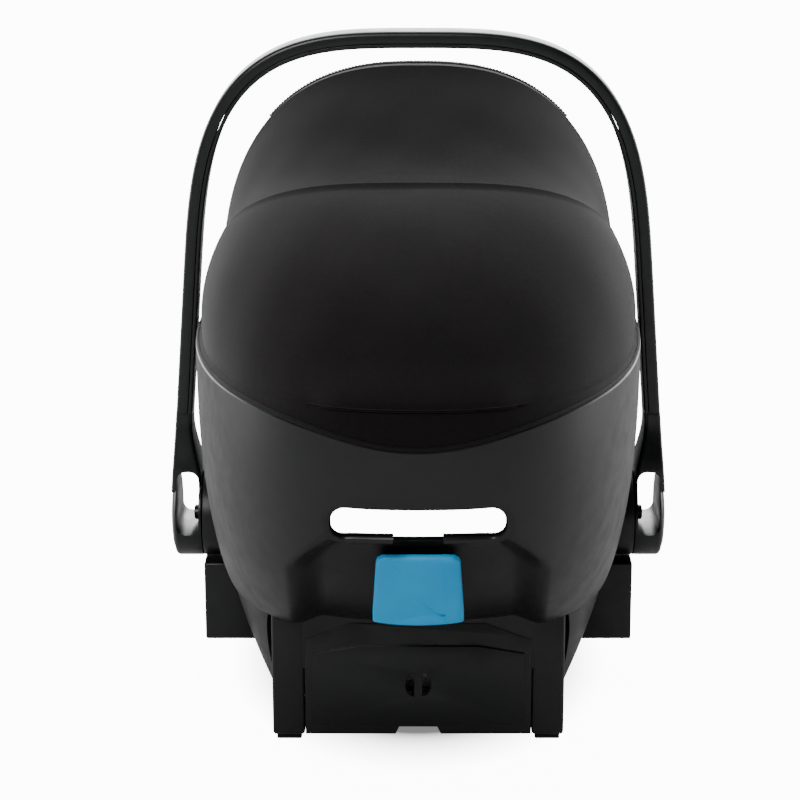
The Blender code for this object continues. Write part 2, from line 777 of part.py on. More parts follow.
def chest_clip():
    half_x, half_y = CLIP_HALF
    base = flat_top((0.0, CLIP_Y), (0.062, half_y)) + STRAP_LIFT + STRAP_THICKNESS + 0.001
    top = base + CLIP_THICKNESS
    left = add_object("chest_clip_left", block((-half_x, CLIP_Y - half_y, base),
                                               (-0.0002, CLIP_Y + half_y, top), 0.0015),
                      "base_plastic")
    tab = (0.012, 0.0060, 0.0018)
    join(left, "clip_tab", block((-0.006, CLIP_Y - tab[1], base + 0.0026),
                                 (tab[0], CLIP_Y + tab[1], base + 0.0026 + tab[2])))
    right = add_object("chest_clip_right", block((0.0002, CLIP_Y - half_y, base),
                                                 (half_x, CLIP_Y + half_y, top), 0.0015),
                       "base_plastic")
    gap = 0.0004
    cut(right, "clip_pocket", block((-0.006, CLIP_Y - tab[1] - gap, base + 0.0026 - gap),
                                    (tab[0] + gap, CLIP_Y + tab[1] + gap,
                                     base + 0.0026 + tab[2] + gap)))


def adjuster():
    y, half_x, half_y, height = ADJUSTER
    base = max(cover_top(a * half_x, y + b * half_y) for a in (-1, 0, 1) for b in (-1, 0, 1))
    base = max(base, flat_top((0.0, y), (half_x, half_y))) + 0.001
    top = base + height
    housing = add_object("adjuster_housing", block((-half_x, y - half_y, base),
                                                   (half_x, y + half_y, top), 0.002),
                         "base_plastic")
    cut(housing, "adjuster_well", block((-0.0105, y - 0.0085, top - 0.0060),
                                        (0.0105, y + 0.0085, top + 0.01)))
    add_object("adjuster_button", block((-0.0100, y - 0.0080, top - 0.0022),
                                        (0.0100, y + 0.0080, top + 0.0014), 0.0008),
               "lever_plastic", (0.0, y, top))
    tail = [(0.0, y + half_y + 0.001), (0.0, y + half_y + 0.050)]
    add_object("adjuster_strap", band(spread_points(tail, 6), 0.025, STRAP_LIFT,
                                      STRAP_THICKNESS, cushion_top), "webbing")


def headrest():
    y, half_x, half_y, thickness = HEADREST
    low = y + half_y
    start = cushion_top(0.0, low) + HEADREST_LIFT

    def plane(x, at):
        return start + HEADREST_SLOPE * (low - at)

    def above_board(x, at):
        return plane(x, at) + HEADREST_BOARD + LAYER_GAP

    outline = [(half_x * c, y + half_y * s)
               for c, s in (oval(math.tau * i / 20, 4.0) for i in range(20))]
    board = [[Vector((px, py, plane(px, py) + up)) for px, py in outline]
             for up in (0.0, HEADREST_BOARD)]
    origin = (0.0, y, plane(0.0, y))
    add_object("headrest_board", loft(board), "base_plastic", origin)
    add_object("headrest_pad", pad((0.0, y), (half_x, half_y), above_board, thickness),
               "seat_fabric", origin)


def harness_yoke():
    plate = add_object("harness_yoke", block((-0.030, -0.165, 0.1180), (0.030, -0.140, 0.1205),
                                             0.0008), "steel")
    cut(plate, "yoke_slot", block((-0.015, -0.150, 0.11), (0.015, -0.145, 0.13)))


# ---------------------------------------------------------------- handle and hubs
def hoop_half(z):
    straight = HOOP_REFERENCE_HALF + (HOOP_REFERENCE_HEIGHT - z) * HOOP_SPLAY
    if z <= HOOP_SHOULDER:
        return straight
    part = (z - HOOP_SHOULDER) / (HOOP_TOP - HOOP_SHOULDER)
    return straight * max(0.0, 1.0 - part ** HOOP_POWER) ** (1 / HOOP_POWER)


def hoop_path(start):
    """The handle's middle line, from one arm's foot over the top to the other's."""
    half = []
    for i in range(5):
        z = start + (HOOP_SHOULDER - start) * i / 5
        half.append((hoop_half(z), z))
    for i in range(HOOP_STEPS // 2 + 1):
        angle = math.pi / 2 * i / (HOOP_STEPS // 2)
        z = HOOP_SHOULDER + (HOOP_TOP - HOOP_SHOULDER) * math.sin(angle) ** (2 / HOOP_POWER)
        straight = HOOP_REFERENCE_HALF + (HOOP_REFERENCE_HEIGHT - z) * HOOP_SPLAY
        half.append((straight * math.cos(angle) ** (2 / HOOP_POWER) if i < HOOP_STEPS // 2
                     else 0.0, z))
    return half + [(-x, z) for x, z in reversed(half[:-1])]


def hub_outline():
    points = []
    spread = math.radians(140)
    for i in range(17):
        angle = -math.pi / 2 - spread + 2 * spread * i / 16
        points.append((HUB_RADIUS * math.cos(angle), HUB_HEIGHT + HUB_RADIUS * math.sin(angle)))
    points += [(HUB_NECK_HALF, HUB_NECK_HEIGHT), (-HUB_NECK_HALF, HUB_NECK_HEIGHT)]
    return points


def handle_hub(side):
    """Hub solid with its outer edge eased: rings of the outline, drawn in at the outside."""
    outline = hub_outline()
    rings = []
    for out, ease in ((HUB_INNER, 0.0), (HUB_OUTER - 0.0035, 0.0), (HUB_OUTER - 0.001, 0.0012),
                      (HUB_OUTER, 0.0035)):
        ring = []
        for y, z in outline:
            away = Vector((y, z - HUB_HEIGHT))
            away = away * (1 - ease / away.length)
            ring.append((side * out, away[0], HUB_HEIGHT + away[1]))
        rings.append(ring)
    return loft(rings)


def handle():
    pivot = (0.0, 0.0, HUB_HEIGHT)
    inner = -BAR_THICKNESS / 2
    parting = BAR_THICKNESS / 2 - CAP_THICKNESS
    section = bar_section(inner, parting, BAR_WIDTH, 0.0008, BAR_CHAMFER)
    start = HUB_NECK_HEIGHT - 0.008
    bar = add_object("handle_bar", hoop(hoop_path(start), (0, 0, 0), 0.0, section),
                     "handle_plastic", pivot)
    for name, side in SIDES:
        join(bar, f"hub_{name}", handle_hub(side))
        join(bar, f"collar_{name}",
             rod_x(HUB_INNER - COLLAR_DEPTH, HUB_INNER + 0.002, 0.0, HUB_HEIGHT,
                   COLLAR_RADIUS, side, ROUND_STEPS))
    for name, side in SIDES:
        slot_low, slot_high = HUB_INNER + HUB_PLATE, HUB_SLOT_OUTER
        middle = (side * (slot_low + slot_high) / 2, (HUB_SLOT_BOTTOM + HUB_SLOT_TOP) / 2)
        slot = rounded_outline((slot_high - slot_low) / 2, (HUB_SLOT_TOP - HUB_SLOT_BOTTOM) / 2,
                               HUB_SLOT_CORNER, middle)
        cut(bar, f"hub_slot_{name}", prism(slot, -0.06, 0.06, "y"))
        cut(bar, f"hub_bore_{name}",
            rod_x(HUB_INNER - COLLAR_DEPTH - 0.002, slot_low + 0.002, 0.0, HUB_HEIGHT,
                  BUTTON_RADIUS + RUNNING_GAP, side, ROUND_STEPS))
    cap_section = bar_section(parting + SEAT_GAP, BAR_THICKNESS / 2, BAR_WIDTH, 0.0012, 0.0004)
    add_object("handle_cap", hoop(hoop_path(HUB_NECK_HEIGHT + 0.004), (0, 0, 0), 0.0,
                                  cap_section), "handle_plastic", pivot)


def hub_bases():
    for name, side in SIDES:
        base = add_object(f"hub_base_{name}",
                          rod_x(0.150, HUB_BASE_OUTER, 0.0, HUB_HEIGHT, HUB_RADIUS, side, 32),
                          "shell_plastic")
        combine(base, bpy.data.objects["shell_hull"], "DIFFERENCE")
        cut(base, f"bore_{name}", rod_x(BORE_FLOOR, HUB_BASE_OUTER + 0.01, 0.0, HUB_HEIGHT,
                                        HUB_BORE, side, ROUND_STEPS))


def hub_locks():
    """Button, stem and lock plate in one, pushed out by a coil against the bore's floor."""
    plate_out = HUB_INNER - COLLAR_DEPTH - SEAT_GAP
    plate_in = plate_out - LOCK_THICKNESS
    button_out = HUB_INNER + HUB_PLATE + BUTTON_PROUD
    for name, side in SIDES:
        pivot = (side * plate_in, 0.0, HUB_HEIGHT)
        profile = [(plate_in, LOCK_RADIUS), (plate_out, LOCK_RADIUS), (plate_out, BUTTON_RADIUS),
                   (button_out - 0.001, BUTTON_RADIUS), (button_out, BUTTON_RADIUS - 0.001)]
        add_object(f"handle_button_{name}", turned(profile, 0.0, HUB_HEIGHT, side),
                   "handle_plastic", pivot)
        low, high = BORE_FLOOR + SEAT_GAP, plate_in - SEAT_GAP
        wire = 0.0006
        add_object(f"button_spring_{name}",
                   coil((side * (low + high) / 2, 0.0, HUB_HEIGHT), "x", 0.0110, wire, 2.5,
                        high - low - 2 * wire), "steel")


def adapter_sockets():
    for name, side in SIDES:
        item = add_object(f"adapter_socket_{name}",
                          side_block(side, (0.140, -SOCKET_HALF_LENGTH, SOCKET_BOTTOM),
                                     (SOCKET_OUTER, SOCKET_HALF_LENGTH, SOCKET_TOP)),
                          "base_plastic")
        combine(item, bpy.data.objects["shell_hull"], "DIFFERENCE")
        cut(item, f"socket_cut_{name}",
            side_block(side, (SOCKET_INNER + 0.014, -SOCKET_HALF_LENGTH + SOCKET_WALL,
                              SOCKET_BOTTOM - 0.01),
                       (SOCKET_OUTER - SOCKET_WALL / 2, SOCKET_HALF_LENGTH - SOCKET_WALL,
                        SOCKET_BOTTOM + SOCKET_DEPTH)))


def belt_guides():
    back, front, low, high, outer, lip = BELT_GUIDE
    for name, side in SIDES:
        item = add_object(f"belt_guide_{name}",
                          side_block(side, (0.140, back, low), (outer, front, high)),
                          "lever_plastic")
        combine(item, bpy.data.objects["shell_hull"], "DIFFERENCE")
        cut(item, f"guide_cut_{name}",
            side_block(side, (0.130, back - 0.01, low + 0.006),
                       (outer - lip, front + 0.01, high + 0.01)))


# ---------------------------------------------------------------- canopy
def bow_half(half, run):
    """A bow's half width at a run from its pivot: it draws in above the eyes."""
    return half - BOW_DRAW * smooth(run / BOW_DRAW_RUN)


def bow_path(half, reach, power, steps=20, start=0.0):
    path = [(bow_half(half, reach * s) * c, reach * s) for c, s in power_arc(steps, power)]
    path[0], path[-1] = (half, start), (-half, start)
    return path


def canopy_mounts():
    for name, side in SIDES:
        plate = [(0.013 * math.cos(a) + BOW_PIVOT_Y, BOW_PIVOT_HEIGHT + 0.013 * math.sin(a))
                 for a in (math.pi * i / 10 for i in range(11))]
        plate += [(BOW_PIVOT_Y - 0.013, 0.300), (BOW_PIVOT_Y + 0.013, 0.300)]
        item = add_object(f"canopy_mount_{name}",
                          prism(plate, *sorted((side * 0.1808, side * 0.1846))), "base_plastic")
        join(item, f"mount_pin_{name}",
             rod_x(0.1690, 0.1815, BOW_PIVOT_Y, BOW_PIVOT_HEIGHT, PIN_RADIUS, side))
        join(item, f"mount_head_{name}",
             rod_x(0.1678, 0.1692, BOW_PIVOT_Y, BOW_PIVOT_HEIGHT, PIN_RADIUS + 0.002, side))


def canopy_bow(name, half, reach, lean, power):
    pivot = (0.0, BOW_PIVOT_Y, BOW_PIVOT_HEIGHT)
    thick, wide = BOW_STRIP
    section = [(-thick / 2, -wide / 2), (thick / 2, -wide / 2), (thick / 2, wide / 2),
               (-thick / 2, wide / 2)]
    path = bow_path(half, reach, power, start=EYE_RADIUS - 0.002)
    bow = add_object(name, hoop(path, pivot, lean, section), "base_plastic", pivot)
    for side_name, side in SIDES:
        join(bow, f"{name}_eye_{side_name}",
             tube_x(half - 0.0017, half + 0.0017, BOW_PIVOT_Y, BOW_PIVOT_HEIGHT, EYE_RADIUS,
                    PIN_RADIUS + SEAT_GAP, side))
    return bow


def bow_curve(half, reach, lean, power, grow=0.0):
    """Points of a bow's outer line, moved out by grow."""
    tilt = math.radians(lean)
    points = []
    for c, s in power_arc(CANOPY_COLUMNS, power):
        run = (reach + grow) * s
        points.append(Vector((bow_half(half + grow, run) * c, BOW_PIVOT_Y + run * math.sin(tilt),
                              BOW_PIVOT_HEIGHT + run * math.cos(tilt))))
    return points


def sheet(rows, centre):
    """A closed sheet with the given thickness below rows of outer points."""
    inner = []
    for row in rows:
        inner.append([point + (centre - point).normalized() * FABRIC_THICKNESS for point in row])
    form = bmesh.new()
    outer_verts = [[form.verts.new(point) for point in row] for row in rows]
    inner_verts = [[form.verts.new(point) for point in row] for row in inner]
    last_row, last = len(rows) - 1, len(rows[0]) - 1
    for i in range(last_row):
        for j in range(last):
            form.faces.new((outer_verts[i][j], outer_verts[i][j + 1],
                            outer_verts[i + 1][j + 1], outer_verts[i + 1][j]))
            form.faces.new((inner_verts[i][j], inner_verts[i + 1][j],
                            inner_verts[i + 1][j + 1], inner_verts[i][j + 1]))
    for j in range(last):
        for i in (0, last_row):
            form.faces.new((outer_verts[i][j], outer_verts[i][j + 1],
                            inner_verts[i][j + 1], inner_verts[i][j]))
    for i in range(last_row):
        for j in (0, last):
            form.faces.new((outer_verts[i][j], outer_verts[i + 1][j],
                            inner_verts[i + 1][j], inner_verts[i][j]))
    return form


def blend_rows(first, second, steps, bulge, centre, start=0):
    """Rows between two curves, swelling away from the centre, or sagging towards it.

    The swelling fades out towards both ends of the curves.
    """
    rows = []
    last = len(first) - 1
    weights = [max(0.0, math.sin(math.pi * k / last)) ** SWELL_POWER for k in range(last + 1)]
    for i in range(start, steps + 1):
        part = i / steps
        row = []
        for a, b, weight in zip(first, second, weights):
            point = a.lerp(b, part)
            away = (point - centre).normalized()
            row.append(point + away * bulge * weight * 4 * part * (1 - part))
        rows.append(row)
    return rows


def canopy_base_curve(inset, height):
    points = []
    for i in range(CANOPY_COLUMNS + 1):
        c, s = oval(-math.pi * i / CANOPY_COLUMNS)
        points.append(Vector((c * (RIM_HALF_WIDTH - inset),
                              BOW_PIVOT_Y + s * (HEAD_REACH - inset),
                              height(-math.pi * i / CANOPY_COLUMNS))))
    return points


def trim_ends(rows, keep):
    """Leave out the columns nearest the pivots, where the bows come together."""
    return [row[keep:len(row) - keep] for row in rows]


def canopy_fabric():
    grow = BOW_STRIP[0] / 2 + FABRIC_GAP + FABRIC_THICKNESS
    centre = Vector((0.0, -0.05, 0.20))
    pivot = (0.0, BOW_PIVOT_Y, BOW_PIVOT_HEIGHT)
    rear = bow_curve(REAR_BOW_HALF, REAR_BOW_REACH, REAR_BOW_LEAN, BOW_POWER, grow)
    front = bow_curve(FRONT_BOW_HALF, FRONT_BOW_REACH, FRONT_BOW_LEAN, FRONT_BOW_POWER, grow)
    visor = bow_curve(FRONT_BOW_HALF - 0.002, VISOR_REACH, VISOR_LEAN, FRONT_BOW_POWER, grow)
    base = canopy_base_curve(0.0020, lambda a: rim_height(a) + 0.0035)
    crease = canopy_base_curve(0.0055, lambda a: max(DOME_CREASE, rim_height(a) + 0.006))
    dome = [base] + blend_rows(crease, rear, 5, DOME_BULGE, centre)
    add_object("canopy_rear_panel", sheet(trim_ends(dome, 1), centre), "canopy_fabric", pivot)
    rear_edge = bow_curve(REAR_BOW_HALF, REAR_BOW_REACH, REAR_BOW_LEAN + 1.6, BOW_POWER, grow)
    panel = blend_rows(rear_edge, front, 5, PANEL_SAG, centre)
    add_object("canopy_front_panel", sheet(trim_ends(panel, 2), centre), "canopy_fabric", pivot)
    front_edge = bow_curve(FRONT_BOW_HALF, FRONT_BOW_REACH, FRONT_BOW_LEAN + 1.4,
                           FRONT_BOW_POWER, grow)
    brim = blend_rows(front_edge, visor, 3, 0.001, centre)
    add_object("canopy_visor", sheet(trim_ends(brim, 2), centre), "canopy_fabric", pivot)


# ---------------------------------------------------------------- release lever and latch
def lever_point(along, depth):
    """A point in the lever's side view: along from its top to its foot, depth inwards."""
    top, foot = Vector(LEVER_TOP), Vector(LEVER_BOTTOM)
    down = (foot - top).normalized()
    inward = Vector((-down[1], down[0]))
    return tuple(top + down * along + inward * depth)


def lever_pivot():
    return lever_point(LEVER_PIVOT_DROP, LEVER_PIVOT_DEPTH)


def release_lever():
    length = (Vector(LEVER_BOTTOM) - Vector(LEVER_TOP)).length
    rings = []
    for part, half, proud in ((0.0, LEVER_TOP_HALF - 0.005, 0.0012),
                              (0.04, LEVER_TOP_HALF - 0.001, 0.0004), (0.12, LEVER_TOP_HALF, 0.0),
                              (0.55, (LEVER_TOP_HALF + LEVER_BOTTOM_HALF) / 2, 0.0),
                              (0.90, LEVER_BOTTOM_HALF, 0.0), (1.0, LEVER_BOTTOM_HALF, -0.0020)):
        front = lever_point(part * length, proud)
        crown = lever_point(part * length, proud - 0.0006)
        back = lever_point(part * length, LEVER_THICKNESS)
        rings.append([(-half, *front), (-half + 0.004, *crown), (half - 0.004, *crown),
                      (half, *front), (half, *back), (-half, *back)])
    y, z = lever_pivot()
    lever = add_object("release_lever", loft(rings), "lever_plastic", (0.0, y, z))
    ear = [lever_point(LEVER_PIVOT_DROP - 0.005, LEVER_THICKNESS - 0.001),
           lever_point(LEVER_PIVOT_DROP + 0.008, LEVER_THICKNESS - 0.001),
           lever_point(LEVER_PIVOT_DROP + 0.003, LEVER_PIVOT_DEPTH),
           lever_point(LEVER_PIVOT_DROP - 0.003, LEVER_PIVOT_DEPTH)]
    for name, side in SIDES:
        join(lever, f"lever_ear_{name}", prism(ear, *sorted((side * 0.0180, side * 0.0240))))
        join(lever, f"lever_eye_{name}", rod_x(0.0180, 0.0240, y, z, LEVER_EYE_RADIUS, side))
        cut(lever, f"lever_bore_{name}",
            rod_x(0.0100, 0.0300, y, z, LEVER_PIN_RADIUS + SEAT_GAP, side))
    return lever


def recess_floor(z):
    return -head_reach(z) + recess_push(0.0, -head_reach(z), z)


def lever_bracket():
    """Two cheeks on a strip that carry the lever's pin against the recess."""
    y, z = lever_pivot()
    low, high = z - 0.011, z
    strip = [(recess_floor(at) - BRACKET_GAP - depth, at) for at, depth in
             ((high, 0.0), (high, BRACKET_THICKNESS), (low, BRACKET_THICKNESS), (low, 0.0))]
    item = add_object("lever_bracket", prism(strip, -BRACKET_HALF, BRACKET_HALF),
                      "base_plastic")
    cheek = [(y - 0.0034, z + 0.0034), (strip[0][0] - 0.0004, high - 0.0005),
             (strip[3][0] - 0.0004, low + 0.0040), (y - 0.0030, z - 0.0034)]
    for name, side in SIDES:
        join(item, f"cheek_{name}",
             prism(cheek, *sorted((side * 0.0252, side * (BRACKET_HALF - 0.0005)))))
        cut(item, f"cheek_bore_{name}",
            rod_x(0.0200, 0.0400, y, z, LEVER_PIN_RADIUS + SEAT_GAP, side))
    add_object("lever_pin", rod_x(-BRACKET_HALF, BRACKET_HALF, y, z, LEVER_PIN_RADIUS, steps=12),
               "steel")
    add_object("lever_spring", coil((0.0, y, z), "x", 0.0028, 0.0005, 4, 0.014), "steel")


def latch():
    y, z = LATCH_PIVOT
    reach = RAIL_INNER + 0.009
    add_object("latch_shaft", rod_x(-reach, reach, y, z, LATCH_PIN_RADIUS), "steel")
    outline = [(y + 0.010, z + 0.008), (y - 0.010, z + 0.008), (y - 0.011, z - 0.006),
               (y - 0.004, z - 0.034), (y + 0.004, z - 0.046), (y - 0.014, z - 0.052),
               (y - 0.014, z - 0.058), (y + 0.012, z - 0.057), (y + 0.014, z - 0.044),
               (y + 0.006, z - 0.030), (y + 0.010, z - 0.006)]
    hook = add_object("latch_hook", prism(outline, -LATCH_HALF, LATCH_HALF), "steel",
                      (0.0, y, z))
    cut(hook, "hook_bore", rod_x(-0.02, 0.02, y, z, LATCH_PIN_RADIUS + SEAT_GAP))
    add_object("latch_spring", coil((0.0195, y, z), "x", 0.0056, 0.0007, 4, 0.010), "steel")
    for name, (ay, az) in (("rear_anchor_bar", REAR_ANCHOR), ("front_anchor_bar", FRONT_ANCHOR)):
        add_object(name, rod_x(-reach, reach, ay, az, ANCHOR_RADIUS), "steel")


# ---------------------------------------------------------------- the whole seat
def build():
    clear_scene()
    add_tool("shell_hull", shell_hull(HULL_GAP))
    outer_shell()
    rear_cover()
    feet()
    soft_goods()
    buckle()
    straps()
    chest_clip()
    adjuster()
    headrest()
    harness_yoke()
    handle()
    hub_bases()
    hub_locks()
    adapter_sockets()
    belt_guides()
    canopy_mounts()
    canopy_bow("canopy_rear_bow", REAR_BOW_HALF, REAR_BOW_REACH, REAR_BOW_LEAN, BOW_POWER)
    canopy_bow("canopy_front_bow", FRONT_BOW_HALF, FRONT_BOW_REACH, FRONT_BOW_LEAN,
               FRONT_BOW_POWER)
    canopy_fabric()
    release_lever()
    lever_bracket()
    latch()


build()
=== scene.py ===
import json
import math

import bmesh
import bpy
import numpy as np
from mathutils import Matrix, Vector
from mathutils.bvhtree import BVHTree


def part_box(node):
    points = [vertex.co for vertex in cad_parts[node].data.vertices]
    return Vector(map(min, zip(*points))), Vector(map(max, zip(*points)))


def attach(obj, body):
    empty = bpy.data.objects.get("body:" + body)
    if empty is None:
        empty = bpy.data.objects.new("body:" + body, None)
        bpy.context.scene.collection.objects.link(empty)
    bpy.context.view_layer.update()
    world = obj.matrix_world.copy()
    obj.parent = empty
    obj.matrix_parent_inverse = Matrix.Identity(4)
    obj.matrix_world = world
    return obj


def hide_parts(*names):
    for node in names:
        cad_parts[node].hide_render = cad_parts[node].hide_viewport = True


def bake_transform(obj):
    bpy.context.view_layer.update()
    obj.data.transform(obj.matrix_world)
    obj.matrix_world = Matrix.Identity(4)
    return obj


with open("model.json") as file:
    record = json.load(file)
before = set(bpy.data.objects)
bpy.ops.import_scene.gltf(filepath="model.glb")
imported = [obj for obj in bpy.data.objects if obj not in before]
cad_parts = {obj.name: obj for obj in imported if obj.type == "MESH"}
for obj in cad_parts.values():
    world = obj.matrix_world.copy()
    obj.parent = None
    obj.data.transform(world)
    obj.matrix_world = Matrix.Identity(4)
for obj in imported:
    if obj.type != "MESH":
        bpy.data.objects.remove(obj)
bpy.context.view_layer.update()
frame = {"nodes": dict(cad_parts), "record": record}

# ---------------------------------------------------------------- driving sizes, in metres
SHELL_LOW, SHELL_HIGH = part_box("outer_shell")
RIM_HALF = SHELL_HIGH.x
REACH = SHELL_HIGH.y
RIM_HEIGHT = SHELL_HIGH.z
FLOOR_HALF = 0.128
RIM_DIP, RIM_DIP_WIDTH, FOOT_DROP = 0.025, 0.095, 0.030
BELLY_REACH, BELLY_DROP = 0.178, 0.196
TOE_REACH, TOE_DROP = 0.205, 0.235
PLAN_POWER, FLARE_POWER = 2.5, 2.55
SHELL_WALL = 0.0035
SKIRT_SIDE, SKIRT_HEAD, SKIRT_FOOT = 0.012, 0.108, 0.100
RECESS_TOP, RECESS_DEPTH = 0.236, 0.034
RECESS_TOP_HALF, RECESS_HALF = 0.070, 0.101
GRIP_HALF, GRIP_LOW, GRIP_HIGH, GRIP_CORNER = 0.0670, 0.2265, 0.2530, 0.0120
GRIP_ARCH = 0.0035
LIP_ROUND = 0.0030
NOTCH = [(-0.0195, 0.2225), (0.0195, 0.2225), (0.0185, 0.2340), (-0.0185, 0.2340)]
CUT_FROM, CUT_TO = -0.36, -0.24
SHELL_COLUMNS, SHELL_ROWS, SHELL_CENTRE = 420, 96, (0.0, 0.0, 0.22)
# The slot's lip as (outward, back) from the slot's edge.
LIP_PROFILE = ((0.0060, 0.0008), (0.0034, 0.0001), (0.0022, 0.0005), (0.0012, 0.0012),
               (0.0005, 0.0023), (0.0001, 0.0037), (0.0, 0.0060), (0.0002, 0.0084),
               (0.0012, 0.0090), (0.0021, 0.0080), (0.0024, 0.0050), (0.0040, 0.0040),
               (0.0060, 0.0036))

RAIL_GAP, RAIL_OUTER, RAIL_BACK, RAIL_FRONT = 0.0005, 0.122, -0.178, 0.235
RAIL_FOOT, RAIL_TOP, RAIL_EDGE = 0.006, 0.118, 0.0028
RAIL_TURN, RAIL_TURN_RISE = 0.105, 0.075
WEB_LOW, WEB_HIGH, WEB_BACK, WEB_FRONT, WEB_TUCK = 0.0660, 0.1200, 0.0005, 0.0040, 0.002

LINER_GAP, LINER_WALL, LINER_TOP = 0.0115, 0.014, 0.329
BOWL_POWER = 0.6
FLOOR_BASE, FLOOR_SLOPE, FLOOR_LOW_Y, FLOOR_ROUND = 0.128, 0.34, 0.070, 0.020
COVER_INSET, COVER_CLOTH = 0.0156, 0.004
# The cover's edge over the liner's rim, and its underside, as (inset, rise).
COVER_OVER = ((-0.0020, -0.0100), (-0.0032, -0.0040), (-0.0030, 0.0008), (-0.0014, 0.0032),
              (0.0030, 0.0046), (0.0090, 0.0050), (0.0150, 0.0042), (0.0185, 0.0018))
COVER_UNDER = ((-0.0006, -0.0100), (-0.0006, 0.0010), (0.0030, 0.0030), (0.0120, 0.0030),
               (0.0150, 0.0016))
QUILT_HALF, QUILT_PITCH, QUILT_START, QUILT_DEPTH = 0.095, 0.055, 0.02, 0.0018
WEBBING_THICK, SELVEDGE = 0.0016, 0.0003

HUB_HEIGHT, HUB_RADIUS = 0.144, 0.038
HUB_INNER, HUB_OUTER = 0.1912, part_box("handle_bar")[1].x
HUB_NECK, HUB_NECK_HALF = 0.200, 0.0165
HUB_PLATE, HUB_SLOT_OUTER, HUB_CROWN = 0.0022, 0.2130, 0.0040
HUB_SLOT_LOW, HUB_SLOT_HIGH, HUB_SLOT_CORNER = 0.134, 0.1885, 0.0080
HUB_FILLET, HUB_SPREAD, HUB_TOP_SHARE = 0.0040, 140.0, 0.86
HUB_FACE_RINGS = (0.78, 0.62, 0.46, 0.30, 0.14, 0.04)
NECK_LOW, NECK_HIGH, NECK_START, NECK_RUN = 0.1700, 0.2400, 0.1800, 0.0560
NECK_FOOT_HALF, NECK_ROUND, NECK_COVER = 0.0250, 0.0034, 0.0002
COLLAR_RADIUS, COLLAR_DEPTH, BUTTON_BORE = 0.0160, 0.0044, 0.0071
BAR_THICK, BAR_WIDTH, CAP_THICK = 0.0140, 0.031, 0.0038
HOOP_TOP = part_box("handle_cap")[1].z - BAR_THICK / 2
HOOP_SHOULDER, HOOP_POWER = 0.360, 3.4
HOOP_AT, HOOP_HALF, HOOP_SPLAY = 0.440, 0.1905, 0.075

# The lever's plate, its top and foot as (y, z).
LEVER_TOP, LEVER_FOOT, LEVER_THICK = (-0.2960, 0.2055), (-0.2620, 0.1410), 0.0040
LEVER_TOP_HALF, LEVER_FOOT_HALF = 0.0330, 0.0362
LEVER_TOP_ROUND, LEVER_FOOT_ROUND, LEVER_TIP = 0.0075, 0.0022, 0.0022
LEVER_CROWN, LEVER_CURL, LEVER_CURL_FROM = 0.0012, 0.0030, 0.86
GROOVE_HALF, GROOVE_HALF_WIDE, GROOVE_ROUND, GROOVE_UP = 0.0215, 0.0015, 0.0014, 0.0100
# The plate's edge as (inset, height), from its back to its face.
LEVER_PROFILE = ((0.0030, -LEVER_THICK), (0.0008, -LEVER_THICK), (0.0, -LEVER_THICK + 0.0008),
                 (0.0, -0.0022), (0.0003, -0.0013), (0.0009, -0.0006), (0.0018, -0.0001),
                 (0.0034, 0.0002), (0.0070, 0.0004), (0.0130, 0.0005))

PIVOT = Vector((0.0, 0.0, 0.341))
REAR_LEAN, FRONT_LEAN, VISOR_LEAN = -46.5, 12.0, 25.0
REAR_REACH, FRONT_REACH, VISOR_REACH = 0.1735, 0.196, 0.2085
REAR_HALF, FRONT_HALF = 0.1772, 0.1726
REAR_POWER, FRONT_POWER = 3.2, 2.6
BOW_DRAW, BOW_DRAW_RUN = 0.0070, 0.050
FABRIC_OUT = 0.0050
FABRIC_THICK = 0.0018
DOME_CREASE, DOME_BULGE, PANEL_SAG, SWELL_POWER = 0.331, 0.019, -0.010, 0.8
DOME_CENTRE = np.array((0.0, -0.05, 0.20))
CREASE_HALF, CREASE_FADE, CREASE_LIP, LIP_ROWS = 0.088, 0.030, 0.0046, 12
# The fold under the dome as (inward, rise) from the crease.
CREASE_FOLD = ((0.0004, 0.0), (0.0030, 0.0006), (0.0034, 0.0013), (-0.0008, 0.0017),
               (-0.0034, 0.0025), (-0.0044, 0.0035))
BEND_REACH, ROLL_RADIUS = 0.070, 0.0046

SIDES = (("left", -1.0), ("right", 1.0))

# ---------------------------------------------------------------- studio
FLOOR_SIZE, FLOOR_LEVEL = 60.0, -0.0002
FLOOR_SEEN, FLOOR_LIGHT = 12.0, 0.02
# The painted shadow under the seat: its centre and its reach, in metres.
PAINTED_SHADOW_CENTRE, PAINTED_SHADOW_REACH = (0.0, 0.03), (0.17, 0.27)
SKY_SEEN, SKY_FRONT, SKY_BACK = 14.0, 0.03, 7.0
LIGHT_TARGET = (0.0, 0.0, 0.28)
LIGHTS = (("key_light", (-1.0, -2.6, 2.4), (1.2, 1.2), 62.0),
          ("top_light", (0.0, 0.6, 3.0), (2.4, 2.4), 7.0),
          ("left_edge_light", (-2.4, 0.5, 0.6), (0.8, 1.8), 34.0),
          ("right_edge_light", (2.4, 0.5, 0.6), (0.8, 1.8), 34.0))
CAMERA_PLACE, CAMERA_PITCH = (0.0, -2.1, 0.85), 16.0
CAMERA_LENS, CAMERA_SHIFT = 111.4, -0.0228


# ---------------------------------------------------------------- materials
def start_material(name, colour, roughness, metallic=0.0):
    made = bpy.data.materials.new(name)
    made.use_nodes = True
    tree = made.node_tree
    shader = tree.nodes["Principled BSDF"]
    shader.inputs["Base Color"].default_value = (*colour, 1.0)
    shader.inputs["Roughness"].default_value = roughness
    shader.inputs["Metallic"].default_value = metallic
    place = tree.nodes.new("ShaderNodeTexCoord")
    return made, tree, shader, place.outputs["Object"]


